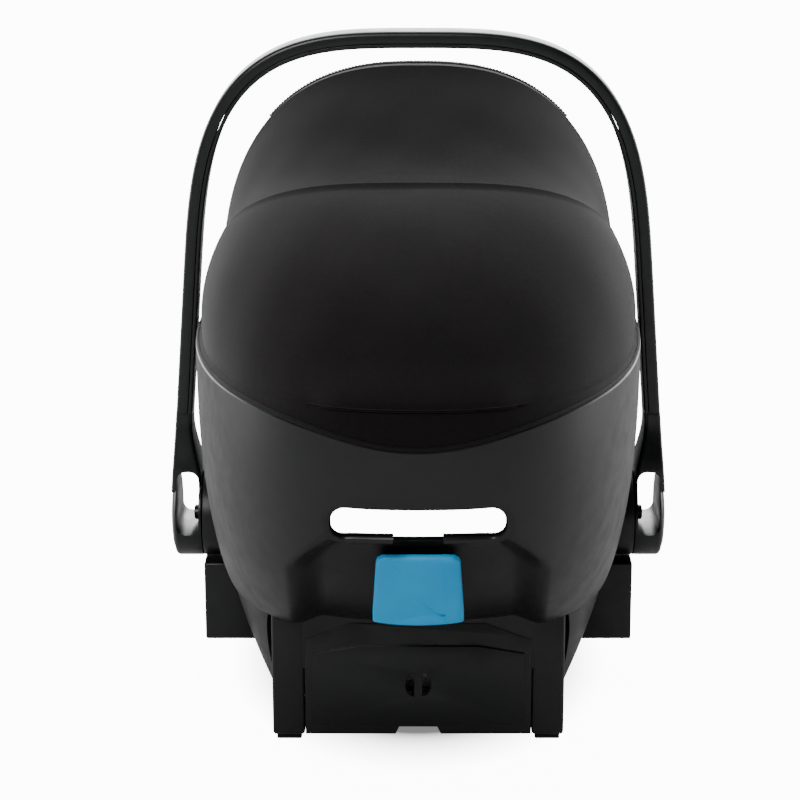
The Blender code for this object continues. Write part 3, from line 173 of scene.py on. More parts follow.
def texture(tree, place, kind, scale, stretch=None, **settings):
    """A texture in object metres; stretch scales each axis before it."""
    node = tree.nodes.new(f"ShaderNodeTex{kind}")
    if stretch:
        mapping = tree.nodes.new("ShaderNodeMapping")
        mapping.inputs["Scale"].default_value = stretch
        tree.links.new(place, mapping.inputs["Vector"])
        place = mapping.outputs["Vector"]
    tree.links.new(place, node.inputs["Vector"])
    node.inputs["Scale"].default_value = scale
    for key, value in settings.items():
        if key in node.inputs:
            node.inputs[key].default_value = value
        else:
            setattr(node, key, value)
    return node


def ranged(tree, value, low, high, from_low=0.3, from_high=0.7):
    node = tree.nodes.new("ShaderNodeMapRange")
    tree.links.new(value, node.inputs["Value"])
    for key, number in (("From Min", from_low), ("From Max", from_high),
                        ("To Min", low), ("To Max", high)):
        node.inputs[key].default_value = number
    return node.outputs["Result"]


def tinted(tree, shader, value, dark, light):
    """Base colour between two tones by a texture value."""
    ramp = tree.nodes.new("ShaderNodeValToRGB")
    ramp.color_ramp.elements[0].position = 0.3
    ramp.color_ramp.elements[1].position = 0.7
    ramp.color_ramp.elements[0].color = (*dark, 1.0)
    ramp.color_ramp.elements[1].color = (*light, 1.0)
    tree.links.new(value, ramp.inputs["Fac"])
    tree.links.new(ramp.outputs["Color"], shader.inputs["Base Color"])


def feed(tree, value, socket):
    """Give a socket a number, or link another socket to it."""
    if isinstance(value, bpy.types.NodeSocket):
        tree.links.new(value, socket)
    else:
        socket.default_value = value


def combined(tree, operation, one, other):
    node = tree.nodes.new("ShaderNodeMath")
    node.operation = operation
    tree.links.new(one, node.inputs[0])
    tree.links.new(other, node.inputs[1])
    return node.outputs["Value"]


def bump(tree, shader, height, strength, distance, before=None):
    node = tree.nodes.new("ShaderNodeBump")
    node.inputs["Strength"].default_value = strength
    node.inputs["Distance"].default_value = distance
    tree.links.new(height, node.inputs["Height"])
    if before:
        tree.links.new(before, node.inputs["Normal"])
    tree.links.new(node.outputs["Normal"], shader.inputs["Normal"])
    return node.outputs["Normal"]


def scaled(colour, factor):
    return tuple(min(1.0, part * factor) for part in colour)


def plastic(name, colour, roughness, grain=0.10, coat=0.0):
    """Moulded plastic: a fine spark-eroded grain and faint flow marks."""
    made, tree, shader, place = start_material(name, colour, roughness)
    flow = texture(tree, place, "Noise", 14.0, Detail=4.0)
    tinted(tree, shader, flow.outputs["Fac"], scaled(colour, 0.88), scaled(colour, 1.12))
    marks = texture(tree, place, "Noise", 60.0, Detail=5.0)
    tree.links.new(ranged(tree, marks.outputs["Fac"], roughness - 0.04, roughness + 0.06),
                   shader.inputs["Roughness"])
    fine = texture(tree, place, "Noise", 1500.0, Detail=2.0)
    bump(tree, shader, fine.outputs["Fac"], grain, 0.0002)
    shader.inputs["Coat Weight"].default_value = coat
    shader.inputs["Coat Roughness"].default_value = 0.15
    return made


def knit(name, colour, rib=430.0, sheen=0.12, roughness=0.88, depth=0.22):
    """Jersey: fine wales crossed by looser courses, a fuzz, and slow tone changes."""
    made, tree, shader, place = start_material(name, colour, roughness)
    slow = texture(tree, place, "Noise", 22.0, Detail=5.0, Roughness=0.6)
    tinted(tree, shader, slow.outputs["Fac"], scaled(colour, 0.82), scaled(colour, 1.18))
    wales = texture(tree, place, "Wave", rib, bands_direction="X", Distortion=1.2)
    courses = texture(tree, place, "Wave", rib * 1.25, bands_direction="Z", Distortion=1.6)
    both = combined(tree, "MULTIPLY", wales.outputs["Fac"], courses.outputs["Fac"])
    fuzz = texture(tree, place, "Noise", 900.0, Detail=3.0)
    first = bump(tree, shader, both, depth, 0.0005)
    bump(tree, shader, fuzz.outputs["Fac"], 0.25, 0.0003, first)
    shader.inputs["Sheen Weight"].default_value = sheen
    shader.inputs["Sheen Roughness"].default_value = 0.45
    shader.inputs["Specular IOR Level"].default_value = 0.2
    tree.links.new(ranged(tree, fuzz.outputs["Fac"], roughness - 0.08, roughness + 0.06),
                   shader.inputs["Roughness"])
    return made


def woven(name, colour, pitch=170.0, roughness=0.62):
    """Webbing: a twill of crossed slanting ribs."""
    made, tree, shader, place = start_material(name, colour, roughness)
    one = texture(tree, place, "Wave", pitch, bands_direction="DIAGONAL", Distortion=0.3)
    other = texture(tree, place, "Wave", pitch, (1.0, -1.0, 1.0),
                    bands_direction="DIAGONAL", Distortion=0.3)
    both = combined(tree, "MAXIMUM", one.outputs["Fac"], other.outputs["Fac"])
    tinted(tree, shader, both, scaled(colour, 0.7), scaled(colour, 1.35))
    bump(tree, shader, both, 0.6, 0.0005)
    shader.inputs["Sheen Weight"].default_value = 0.2
    return made


def beaded_foam(name, colour):
    made, tree, shader, place = start_material(name, colour, 0.8)
    beads = texture(tree, place, "Voronoi", 260.0, feature="DISTANCE_TO_EDGE")
    slow = texture(tree, place, "Noise", 40.0, Detail=3.0)
    tinted(tree, shader, slow.outputs["Fac"], scaled(colour, 0.8), scaled(colour, 1.2))
    bump(tree, shader, ranged(tree, beads.outputs["Distance"], 0.0, 1.0, 0.0, 0.25), 0.6, 0.0006)
    return made


def steel(name, colour, roughness):
    made, tree, shader, place = start_material(name, colour, roughness, 1.0)
    lines = texture(tree, place, "Noise", 90.0, (1.0, 40.0, 40.0), Detail=4.0)
    tinted(tree, shader, lines.outputs["Fac"], scaled(colour, 0.85), scaled(colour, 1.1))
    tree.links.new(ranged(tree, lines.outputs["Fac"], roughness - 0.08, roughness + 0.12),
                   shader.inputs["Roughness"])
    bump(tree, shader, lines.outputs["Fac"], 0.08, 0.0002)
    return made


def rubber(name, colour):
    made, tree, shader, place = start_material(name, colour, 0.75)
    mottle = texture(tree, place, "Noise", 420.0, Detail=4.0)
    tinted(tree, shader, mottle.outputs["Fac"], scaled(colour, 0.8), scaled(colour, 1.3))
    bump(tree, shader, mottle.outputs["Fac"], 0.3, 0.0004)
    return made


LOOKS = {
    "shell_plastic": plastic("shell_plastic_look", (0.0045, 0.0049, 0.0048), 0.40, 0.10),
    "handle_plastic": plastic("handle_plastic_look", (0.0050, 0.0066, 0.0072), 0.33, 0.08),
    "base_plastic": plastic("base_plastic_look", (0.0048, 0.0052, 0.0056), 0.36, 0.10),
    "lever_plastic": plastic("lever_plastic_look", (0.000, 0.470, 1.000), 0.50, 0.04),
    "canopy_fabric": knit("canopy_fabric_look", (0.0038, 0.0023, 0.0026)),
    "seat_fabric": knit("seat_fabric_look", (0.0200, 0.0190, 0.0200), 300.0, 0.25),
    "foam": beaded_foam("foam_look", (0.055, 0.055, 0.057)),
    "webbing": woven("webbing_look", (0.0140, 0.0140, 0.0150)),
    "steel": steel("steel_look", (0.56, 0.57, 0.59), 0.30),
    "rubber": rubber("rubber_look", (0.010, 0.010, 0.010)),
    "red_plastic": plastic("red_plastic_look", (0.52, 0.012, 0.010), 0.30, 0.05, 0.2),
}
BINDING = knit("binding_look", (0.0065, 0.0060, 0.0065), 420.0, 0.10, 0.80, 0.25)
THREAD = woven("thread_look", (0.0300, 0.0280, 0.0290), 900.0, 0.55)
ZIP = plastic("zip_look", (0.018, 0.021, 0.026), 0.34, 0.20)


# ---------------------------------------------------------------- making pieces
def finish_mesh(name, form, look, sharp=38.0):
    bmesh.ops.recalc_face_normals(form, faces=form.faces)
    mesh = bpy.data.meshes.new(name)
    form.to_mesh(mesh)
    form.free()
    mesh.shade_smooth()
    mesh.set_sharp_from_angle(angle=math.radians(sharp))
    piece = bpy.data.objects.new(name, mesh)
    bpy.context.scene.collection.objects.link(piece)
    mesh.materials.append(look)
    return piece


def skin(name, rings, look, wrap=True, caps=True, loop=False, sharp=38.0):
    """A surface through rings of points. wrap closes each ring, loop joins last to first."""
    form = bmesh.new()
    rows = [[form.verts.new(point) for point in ring] for ring in rings]
    count = len(rows[0])
    pairs = list(zip(rows, rows[1:])) + ([(rows[-1], rows[0])] if loop else [])
    for low, high in pairs:
        for i in range(count if wrap else count - 1):
            j = (i + 1) % count
            form.faces.new((low[i], low[j], high[j], high[i]))
    if caps and wrap and not loop:
        form.faces.new(rows[0])
        form.faces.new(rows[-1])
    return finish_mesh(name, form, look, sharp)


def settled(piece):
    """Apply the piece's modifiers."""
    bpy.context.view_layer.update()
    graph = bpy.context.evaluated_depsgraph_get()
    mesh = bpy.data.meshes.new_from_object(piece.evaluated_get(graph), depsgraph=graph)
    old = piece.data
    piece.modifiers.clear()
    piece.data = mesh
    bpy.data.meshes.remove(old)
    return piece


def smooth_by(piece, sharp=38.0):
    piece.data.shade_smooth()
    piece.data.set_sharp_from_angle(angle=math.radians(sharp))
    return piece


def carve(piece, tools, operation="DIFFERENCE"):
    for tool in tools:
        modifier = piece.modifiers.new(tool.name, "BOOLEAN")
        modifier.object = tool
        modifier.operation = operation
        modifier.solver = "EXACT"
    settled(piece)
    for tool in tools:
        bpy.data.objects.remove(tool, do_unlink=True)
    return piece


def eased(piece, width, segments=3, angle=32.0, sharp=38.0):
    """Round the piece's edges."""
    modifier = piece.modifiers.new("ease", "BEVEL")
    modifier.width = width
    modifier.segments = segments
    modifier.limit_method = "ANGLE"
    modifier.angle_limit = math.radians(angle)
    modifier.use_clamp_overlap = True
    modifier.harden_normals = False
    settled(piece)
    return smooth_by(piece, sharp)


def fit(piece, body, slot, *nodes):
    """Ride on a body and stand for CAD nodes, which it hides; the slot's name is not used."""
    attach(piece, body)
    if nodes:
        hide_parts(*nodes)
    return piece


def prism(name, outline, low, high, axis, look):
    place = {"x": lambda a, b, t: (t, a, b), "y": lambda a, b, t: (a, t, b),
             "z": lambda a, b, t: (a, b, t)}[axis]
    rings = [[place(a, b, level) for a, b in outline] for level in (low, high)]
    return skin(name, rings, look)


def rounded(half_a, half_b, radius, centre=(0.0, 0.0), steps=8):
    points = []
    for sign_a, sign_b, start in ((1, 1, 0), (-1, 1, 90), (-1, -1, 180), (1, -1, 270)):
        for i in range(steps + 1):
            turn = math.radians(start + 90.0 * i / steps)
            points.append((centre[0] + sign_a * (half_a - radius) + radius * math.cos(turn),
                           centre[1] + sign_b * (half_b - radius) + radius * math.sin(turn)))
    return points


def sweep(name, path, section, look, across=(0.0, 0.0, 1.0), closed=False, sharp=50.0):
    """Carry a section of (out, side) points along a path. across fixes the side direction."""
    path = np.asarray(path, float)
    if closed:
        ahead, behind = np.roll(path, -1, axis=0), np.roll(path, 1, axis=0)
    else:
        ahead = np.vstack([path[1:], path[-1:]])
        behind = np.vstack([path[:1], path[:-1]])
    along = unit(ahead - behind)
    across = np.broadcast_to(np.asarray(across, float), path.shape)
    out = unit(np.cross(along, across))
    side = np.cross(out, along)
    rings = [[tuple(path[i] + out[i] * a + side[i] * b) for a, b in section]
             for i in range(len(path))]
    return skin(name, rings, look, loop=closed, sharp=sharp)


def circle(radius, steps=10, squash=1.0):
    return [(radius * math.cos(math.tau * i / steps), squash * radius * math.sin(math.tau * i / steps))
            for i in range(steps)]


def even(path, count, closed=False):
    """The path with its points spaced evenly."""
    path = np.asarray(path, float)
    if closed:
        path = np.vstack([path, path[:1]])
    run = run_along(path)
    at = np.linspace(0.0, run[-1], count + 1 if closed else count)
    if closed:
        at = at[:-1]
    return np.stack([np.interp(at, run, path[:, k]) for k in range(3)], axis=1)


def stitches(name, path, pitch, length, radius, look=None):
    """Thread stitches: a short rounded bar at each pitch of the path, in one mesh."""
    path = np.asarray(path, float)
    count = max(2, int(run_along(path)[-1] / pitch))
    points = even(path, 2 * count)
    form = bmesh.new()
    for k in range(count):
        a, b = Vector(points[2 * k]), Vector(points[2 * k + 1])
        middle, along = (a + b) / 2, (b - a).normalized()
        side = along.orthogonal().normalized()
        up = along.cross(side)
        rows = []
        for share, girth in ((-1.0, 0.35), (-0.6, 1.0), (0.6, 1.0), (1.0, 0.35)):
            centre = middle + along * share * length / 2
            rows.append([form.verts.new(centre + (side * math.cos(t) + up * math.sin(t))
                                        * radius * girth)
                         for t in (math.tau * i / 6 for i in range(6))])
        for low, high in zip(rows, rows[1:]):
            for i in range(6):
                j = (i + 1) % 6
                form.faces.new((low[i], low[j], high[j], high[i]))
        form.faces.new(rows[0])
        form.faces.new(rows[-1])
    return finish_mesh(name, form, look or THREAD, 60.0)


def smooth_step(value):
    value = np.clip(value, 0.0, 1.0)
    return value * value * (3.0 - 2.0 * value)


def lerp(low, high, part):
    return low + (high - low) * part


def unit(rows):
    return rows / np.linalg.norm(rows, axis=-1, keepdims=True)


def run_along(path):
    """The length run at each point of a path, from 0."""
    steps = np.linalg.norm(np.diff(path, axis=0), axis=1)
    return np.concatenate([[0.0], np.cumsum(steps)])


def ring_of(side, out, radius, steps):
    """A circle round a hub's axis, at a distance out from the middle."""
    return [(side * out, a, HUB_HEIGHT + b) for a, b in circle(radius, steps)]


def wobble(points, size, amount, seed=0.0):
    """Slow soft waves over a surface, as a number per point."""
    x, y, z = (np.asarray(points)[..., k] / size for k in range(3))
    wave = (np.sin(1.7 * x + 2.3 * y + 0.6 * z + seed) + np.sin(-2.1 * x + 1.1 * z + 1.9 + seed)
            + np.sin(1.3 * y - 2.7 * z + 0.7 + 2.0 * seed) + np.sin(3.1 * x - 1.9 * y + seed * 3.0))
    return amount * wave / 4.0


# ---------------------------------------------------------------- shell
def signed_power(value, power):
    return np.sign(value) * np.abs(value) ** (2.0 / power)


def plan(angle):
    """The tub's plan, as shares of its half width and its reach."""
    return signed_power(np.cos(angle), PLAN_POWER), signed_power(np.sin(angle), PLAN_POWER)


def half_width(z):
    rise = np.maximum(0.0, 1.0 - z / RIM_HEIGHT)
    return RIM_HALF - (RIM_HALF - FLOOR_HALF) * rise ** FLARE_POWER


def reach_at(z, belly, drop, level):
    fall = np.clip((level - z) / drop, 0.0, 1.0)
    return belly + (REACH - belly) * np.sqrt(1.0 - fall * fall)


def head_reach(z):
    return reach_at(z, BELLY_REACH, BELLY_DROP, RIM_HEIGHT - RIM_DIP)


def foot_reach(z):
    return reach_at(z, TOE_REACH, TOE_DROP, RIM_HEIGHT - FOOT_DROP)


def rim_height(angle):
    c, s = plan(angle)
    head = RIM_HEIGHT - RIM_DIP * np.exp(-((c * RIM_HALF / RIM_DIP_WIDTH) ** 2))
    return np.where(s < 0.0, head, RIM_HEIGHT - FOOT_DROP * s * s)


def skirt_bottom(angle):
    s = np.sin(angle)
    head = lerp(SKIRT_SIDE, SKIRT_HEAD, smooth_step((-s - 0.45) / 0.30))
    foot = lerp(SKIRT_SIDE, SKIRT_FOOT, smooth_step((s - 0.35) / 0.45))
    return np.where(s < 0.0, head, foot)


def recess_push(x, y, z):
    drop = RECESS_TOP - z
    half = lerp(RECESS_TOP_HALF, RECESS_HALF, smooth_step(drop / 0.05))
    edge = smooth_step((half + 0.004 - np.abs(x)) / 0.030)
    push = RECESS_DEPTH * edge * smooth_step(drop / 0.028)
    return np.where((y > -0.1) | (z > RECESS_TOP), 0.0, push)


def shell_points(angle, z):
    c, s = plan(angle)
    x = c * half_width(z)
    y = s * np.where(s < 0.0, head_reach(z), foot_reach(z))
    return np.stack([x, y + recess_push(x, y, z), z], axis=-1)


def plan_angles(count, dense=1.0):
    """Angles that space points evenly round the tub, or more densely at the head end."""
    fine = np.linspace(0.0, math.tau, 7201)
    c, s = plan(fine)
    x, y = c * RIM_HALF, s * REACH
    weight = 1.0 + (dense - 1.0) * smooth_step((-y[1:] - 0.10) / 0.08)
    run = np.concatenate([[0.0], np.cumsum(np.hypot(np.diff(x), np.diff(y)) * weight)])
    return np.interp(np.linspace(0.0, run[-1], count, endpoint=False), run, fine)


def grid_normals(grid, outward_from, wrap=True):
    """Unit normals of a grid of points, pointing away from a centre."""
    if wrap:
        across = np.roll(grid, -1, axis=1) - np.roll(grid, 1, axis=1)
    else:
        across = np.gradient(grid, axis=1)
    down = np.gradient(grid, axis=0)
    normal = np.cross(across, down)
    normal /= np.linalg.norm(normal, axis=2)[..., None] + 1e-12
    flip = np.sign(np.sum(normal * (grid - outward_from), axis=2))
    return normal * np.where(flip == 0, 1.0, flip)[..., None]


def make_shell():
    angle = plan_angles(SHELL_COLUMNS, dense=2.2)
    part = np.linspace(0.0, 1.0, SHELL_ROWS)[:, None]
    z = lerp(rim_height(angle), skirt_bottom(angle), part)
    outer = shell_points(np.broadcast_to(angle, z.shape), z)
    normal = grid_normals(outer, np.array(SHELL_CENTRE))
    inner = outer - normal * SHELL_WALL
    lift = np.array((0.0, 0.0, 1.0))
    crown = (outer[0] + inner[0]) / 2 + lift * 0.0014
    heel = (outer[-1] + inner[-1]) / 2 - lift * 0.0008
    rings = list(outer) + [heel] + list(inner[::-1]) + [crown]
    look = LOOKS["shell_plastic"]
    shell = skin("shell", rings, look, loop=True, sharp=60.0)
    carve(shell, [prism("slot_tool", slot_outline(LIP_ROUND), CUT_FROM, CUT_TO, "y", look),
                  prism("notch_tool", NOTCH, CUT_FROM, CUT_TO, "y", look)])
    smooth_by(shell, 40.0)
    return fit(shell, "carrier", "shell_plastic", "outer_shell")


def slot_outline(grow):
    """The finger slot seen from the head end: a bean with its lower edge arched."""
    half, middle = (GRIP_HIGH - GRIP_LOW) / 2, (GRIP_LOW + GRIP_HIGH) / 2
    points = rounded(GRIP_HALF + grow, half + grow, GRIP_CORNER + grow, (0.0, middle), 14)
    whole = []
    for (x, z), after in zip(points, points[1:] + points[:1]):
        steps = 16 if abs(after[0] - x) > GRIP_HALF else 1
        for i in range(steps):
            at = lerp(x, after[0], i / steps)
            arch = GRIP_ARCH * (1.0 - (at / (GRIP_HALF + grow)) ** 2)
            whole.append((at, z + arch if z < middle else z))
    return whole


def shell_front(x, z):
    """y of the head end's outer surface at a place seen from the head end."""
    wide = half_width(z)
    share = np.clip(np.abs(x) / wide, 0.0, 0.9999)
    y = -head_reach(z) * (1.0 - share ** PLAN_POWER) ** (1.0 / PLAN_POWER)
    return y + recess_push(x, y, z)


def make_grip_lip():
    """The slot's rolled edge, a flange turned into the tub."""
    rings, look = [], LOOKS["shell_plastic"]
    edge = slot_outline(0.0)
    for out, back in LIP_PROFILE:
        rings.append([(x, float(shell_front(x0, z0)) + back, z)
                      for (x, z), (x0, z0) in zip(slot_outline(out), edge)])
    lip = skin("grip_slot_lip", rings, look, loop=True, sharp=60.0)
    carve(lip, [prism("notch_tool", NOTCH, CUT_FROM, CUT_TO, "y", look)])
    smooth_by(lip, 40.0)
    return fit(lip, "carrier", "shell_plastic")


def make_rails():
    """The two runners under the tub; their head ends are the legs seen from behind."""
    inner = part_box("rear_cover")[1].x + RAIL_GAP
    for name, side in SIDES:
        outline = [(RAIL_BACK, RAIL_FOOT), (RAIL_FRONT - RAIL_TURN, RAIL_FOOT)]
        for i in range(1, 17):
            angle = math.radians(90 * i / 16)
            outline.append((RAIL_FRONT - RAIL_TURN + RAIL_TURN * math.sin(angle),
                            RAIL_FOOT + RAIL_TURN_RISE * (1 - math.cos(angle))))
        outline += [(RAIL_FRONT, RAIL_TOP), (RAIL_BACK, RAIL_TOP)]
        span = sorted((side * inner, side * RAIL_OUTER))
        rail = prism(f"rail_{name}", outline, *span, "x", LOOKS["shell_plastic"])
        eased(rail, RAIL_EDGE, 3)
        fit(rail, "carrier", "shell_plastic")
    half = inner + WEB_TUCK
    web = [(-half, WEB_LOW), (half, WEB_LOW), (half, WEB_HIGH), (-half, WEB_HIGH)]
    web = prism("rail_web", web, RAIL_BACK + WEB_BACK, RAIL_BACK + WEB_FRONT, "y",
                LOOKS["base_plastic"])
    fit(web, "carrier", "base_plastic")


# ---------------------------------------------------------------- mechanical pieces from the CAD
def refined(node, body, slot, width, name=None, segments=2):
    """A CAD node with its flats merged and its edges rounded."""
    source = frame["nodes"][node]
    form = bmesh.new()
    form.from_mesh(source.data)
    bmesh.ops.remove_doubles(form, verts=form.verts, dist=0.00001)
    bmesh.ops.dissolve_limit(form, angle_limit=math.radians(2.0), verts=form.verts,
                             edges=form.edges)
    piece = finish_mesh(name or f"{node}_body", form, LOOKS[slot])
    eased(piece, width, segments)
    return fit(piece, body, slot, node)


def make_hardware():
    for node, slot, width in (("rear_cover", "base_plastic", 0.0007),
                              ("buckle_housing", "base_plastic", 0.0008),
                              ("chest_clip_left", "base_plastic", 0.0005),
                              ("chest_clip_right", "base_plastic", 0.0005),
                              ("adjuster_housing", "base_plastic", 0.0006),
                              ("buckle_tongue_left", "steel", 0.0004),
                              ("buckle_tongue_right", "steel", 0.0004),
                              ("harness_yoke", "steel", 0.0003)):
        refined(node, "carrier", slot, width)
    for name, _ in SIDES:
        refined(f"hub_base_{name}", "carrier", "shell_plastic", 0.0016, segments=3)
        refined(f"adapter_socket_{name}", "carrier", "base_plastic", 0.0016, segments=3)
        refined(f"belt_guide_{name}", "carrier", "lever_plastic", 0.0010, segments=3)
        refined(f"canopy_mount_{name}", "carrier", "base_plastic", 0.0006)
        refined(f"rear_foot_{name}", "carrier", "rubber", 0.0006)
        refined(f"front_foot_{name}", "carrier", "rubber", 0.0006)
    refined("lever_bracket", "carrier", "base_plastic", 0.0003)
    refined("latch_hook", "latch", "steel", 0.0008)
    refined("buckle_button", "buckle_release", "red_plastic", 0.0004)
    refined("adjuster_button", "adjuster_release", "lever_plastic", 0.0004)


def repaint_frame():
    """Give every CAD node that still shows the finished material of its slot."""
    slots = {part["node"]: part["material_slot"] for part in frame["record"]["subparts"]}
    for name, node in frame["nodes"].items():
        if node.hide_render:
            continue
        for holder in node.material_slots:
            holder.link = "OBJECT"
            holder.material = LOOKS[slots[name]]
        if not node.material_slots:
            node.data.materials.append(LOOKS[slots[name]])


# ---------------------------------------------------------------- handle
def hoop_half(z):
    straight = HOOP_HALF + (HOOP_AT - z) * HOOP_SPLAY
    part = np.clip((z - HOOP_SHOULDER) / (HOOP_TOP - HOOP_SHOULDER), 0.0, 1.0)
    return straight * (1.0 - part ** HOOP_POWER) ** (1.0 / HOOP_POWER)


def hoop_path(start, count):
    low = np.linspace(start, HOOP_SHOULDER, 60, endpoint=False)
    turn = np.linspace(0.0, math.pi / 2, 700)
    z = HOOP_SHOULDER + (HOOP_TOP - HOOP_SHOULDER) * np.sin(turn) ** (2.0 / HOOP_POWER)
    straight = HOOP_HALF + (HOOP_AT - z) * HOOP_SPLAY
    x = straight * np.abs(np.cos(turn)) ** (2.0 / HOOP_POWER)
    x[-1] = 0.0
    half = np.stack([np.concatenate([hoop_half(low), x]), np.concatenate([low, z])], axis=1)
    mirrored = half[:-1][::-1] * np.array((-1.0, 1.0))
    whole = np.vstack([half, mirrored])
    return even(np.stack([whole[:, 0], np.zeros(len(whole)), whole[:, 1]], axis=1), count)


def bar_section(low, high, width, round_low, round_high, steps=4):
    """A flat bar's section as (out, side), its four corners rounded."""
    half = width / 2
    points = []
    for out, sign_out, sign_side, radius, start in (
            (high, 1, 1, round_high, 0), (low, -1, 1, round_low, 90),
            (low, -1, -1, round_low, 180), (high, 1, -1, round_high, 270)):
        for i in range(steps + 1):
            turn = math.radians(start + 90.0 * i / steps)
            points.append((out - sign_out * radius + radius * math.cos(turn),
                           sign_side * (half - radius) + radius * math.sin(turn)))
    return points


def hub_outline(count=84):
    spread = math.radians(HUB_SPREAD)
    points = []
    for i in range(count + 1):
        angle = -math.pi / 2 - spread + 2 * spread * i / count
        points.append((HUB_RADIUS * math.cos(angle), HUB_RADIUS * math.sin(angle)))
    half = points[0][0]
    for y in (abs(half) - 0.002, -abs(half) + 0.002):
        points.append((y, HUB_RADIUS * HUB_TOP_SHARE))
    return points


def hub_neck(name, side):
    """The arm's foot: it widens from the bar's section into the hub."""
    rings = []
    for z in np.linspace(NECK_LOW, NECK_HIGH, 22):
        part = float(smooth_step((z - NECK_START) / NECK_RUN))
        middle, thick = float(hoop_half(z)), BAR_THICK / 2 + NECK_COVER
        outer = middle + thick
        inner = lerp(HUB_INNER, middle - thick, part)
        half = lerp(NECK_FOOT_HALF, BAR_WIDTH / 2 + NECK_COVER, part)
        centre = (side * (inner + outer) / 2, 0.0)
        outline = rounded((outer - inner) / 2, half, NECK_ROUND, centre, 5)
        rings.append([(x, y, z) for x, y in outline])
    return skin(f"neck_tool_{name}", rings, LOOKS["handle_plastic"])


def make_hub(name, side):
    outline = hub_outline()
    look = LOOKS["handle_plastic"]

    def ring(scale, out, ease=0.0):
        points = []
        for y, z in outline:
            shrink = scale * (1.0 - ease / math.hypot(y, z))
            points.append((side * out, y * shrink, HUB_HEIGHT + z * shrink))
        return points

    rings = [ring(1.0, HUB_INNER)]
    for i in range(7):
        turn = math.radians(90 * i / 6)
        rings.append(ring(1.0, HUB_OUTER - HUB_CROWN - HUB_FILLET * (1.0 - math.sin(turn)),
                          HUB_FILLET * (1.0 - math.cos(turn))))
    for scale in HUB_FACE_RINGS:
        rings.append(ring(scale, HUB_OUTER - HUB_CROWN * scale * scale))
    hub = skin(f"handle_hub_{name}", rings, look)
    collar = [ring_of(side, out, COLLAR_RADIUS, 48)
              for out in (HUB_INNER - COLLAR_DEPTH, HUB_INNER + 0.001)]
    carve(hub, [skin("collar_tool", collar, look), hub_neck(name, side)], "UNION")
    slot_low, slot_high = HUB_INNER + HUB_PLATE, HUB_SLOT_OUTER
    middle = (side * (slot_low + slot_high) / 2, (HUB_SLOT_LOW + HUB_SLOT_HIGH) / 2)
    slot = rounded((slot_high - slot_low) / 2, (HUB_SLOT_HIGH - HUB_SLOT_LOW) / 2,
                   HUB_SLOT_CORNER, middle, 8)
    bore = [ring_of(side, out, BUTTON_BORE, 32)
            for out in (HUB_INNER - COLLAR_DEPTH - 0.002, slot_low + 0.002)]
    carve(hub, [prism("slot_tool", slot, -0.06, 0.06, "y", look), skin("bore_tool", bore, look)])
    eased(hub, 0.0009, 2, 44.0)
    return fit(hub, "handle", "handle_plastic")


def make_handle():
    look = LOOKS["handle_plastic"]
    parting = BAR_THICK / 2 - CAP_THICK
    across = (0.0, 1.0, 0.0)
    section = bar_section(-BAR_THICK / 2, parting, BAR_WIDTH, 0.0038, 0.0006)
    bar = sweep("handle_arch", hoop_path(HUB_NECK - 0.008, 200), section, look, across)
    fit(bar, "handle", "handle_plastic", "handle_bar")
    section = bar_section(parting + 0.0003, BAR_THICK / 2, BAR_WIDTH, 0.0004, 0.0013)
    cap = sweep("handle_arch_cap", hoop_path(HUB_NECK + 0.004, 200), section, look, across)
    fit(cap, "handle", "handle_plastic", "handle_cap")
    for name, side in SIDES:
        make_hub(name, side)


# ---------------------------------------------------------------- release lever
def shield(name, outline, place, profile, look, sharp=50.0):
    """A plate from an outline: rings drawn in by each inset, at each height, capped at the ends."""
    outline = np.asarray(outline, float)
    along = unit(np.roll(outline, -1, axis=0) - np.roll(outline, 1, axis=0))
    inward = np.stack([-along[:, 1], along[:, 0]], axis=1)
    middle = outline.mean(axis=0)
    inward *= np.sign(np.sum(inward * (middle - outline)))
    rings = [[tuple(place(*(point + step * inset), height))
              for point, step in zip(outline, inward)] for inset, height in profile]
    return skin(name, rings, look, sharp=sharp)


def lever_outline(length):
    """The plate seen flat, as (x, along): two round top corners and a bowed foot."""
    corners = ((1, 1, 0.0, LEVER_TOP_HALF, LEVER_TOP_ROUND, 0),
               (-1, 1, 0.0, LEVER_TOP_HALF, LEVER_TOP_ROUND, 270),
               (-1, -1, length, LEVER_FOOT_HALF, LEVER_FOOT_ROUND, 180),
               (1, -1, length, LEVER_FOOT_HALF, LEVER_FOOT_ROUND, 90))
    outline = []
    for sign, rise, along, half, radius, start in corners:
        centre = (sign * (half - radius), along + rise * radius)
        for i in range(11):
            turn = math.radians(start - 90.0 * i / 10)
            outline.append((centre[0] + radius * math.cos(turn),
                            centre[1] + radius * math.sin(turn)))
        if start == 180:
            for i in range(1, 16):
                x = (half - radius) * (i / 8 - 1.0)
                outline.append((x, length + LEVER_TIP * (1.0 - (x / half) ** 2)))
    return outline


def trim_ears(ears, point, inward):
    """Keep the part of the CAD lever that lies behind the plate."""
    form = bmesh.new()
    form.from_mesh(ears.data)
    bmesh.ops.bisect_plane(form, geom=form.verts[:] + form.edges[:] + form.faces[:],
                           plane_co=Vector((0.0, *point)), plane_no=Vector((0.0, *inward)),
                           clear_inner=True)
    bmesh.ops.holes_fill(form, edges=form.edges)
    form.to_mesh(ears.data)
    form.free()


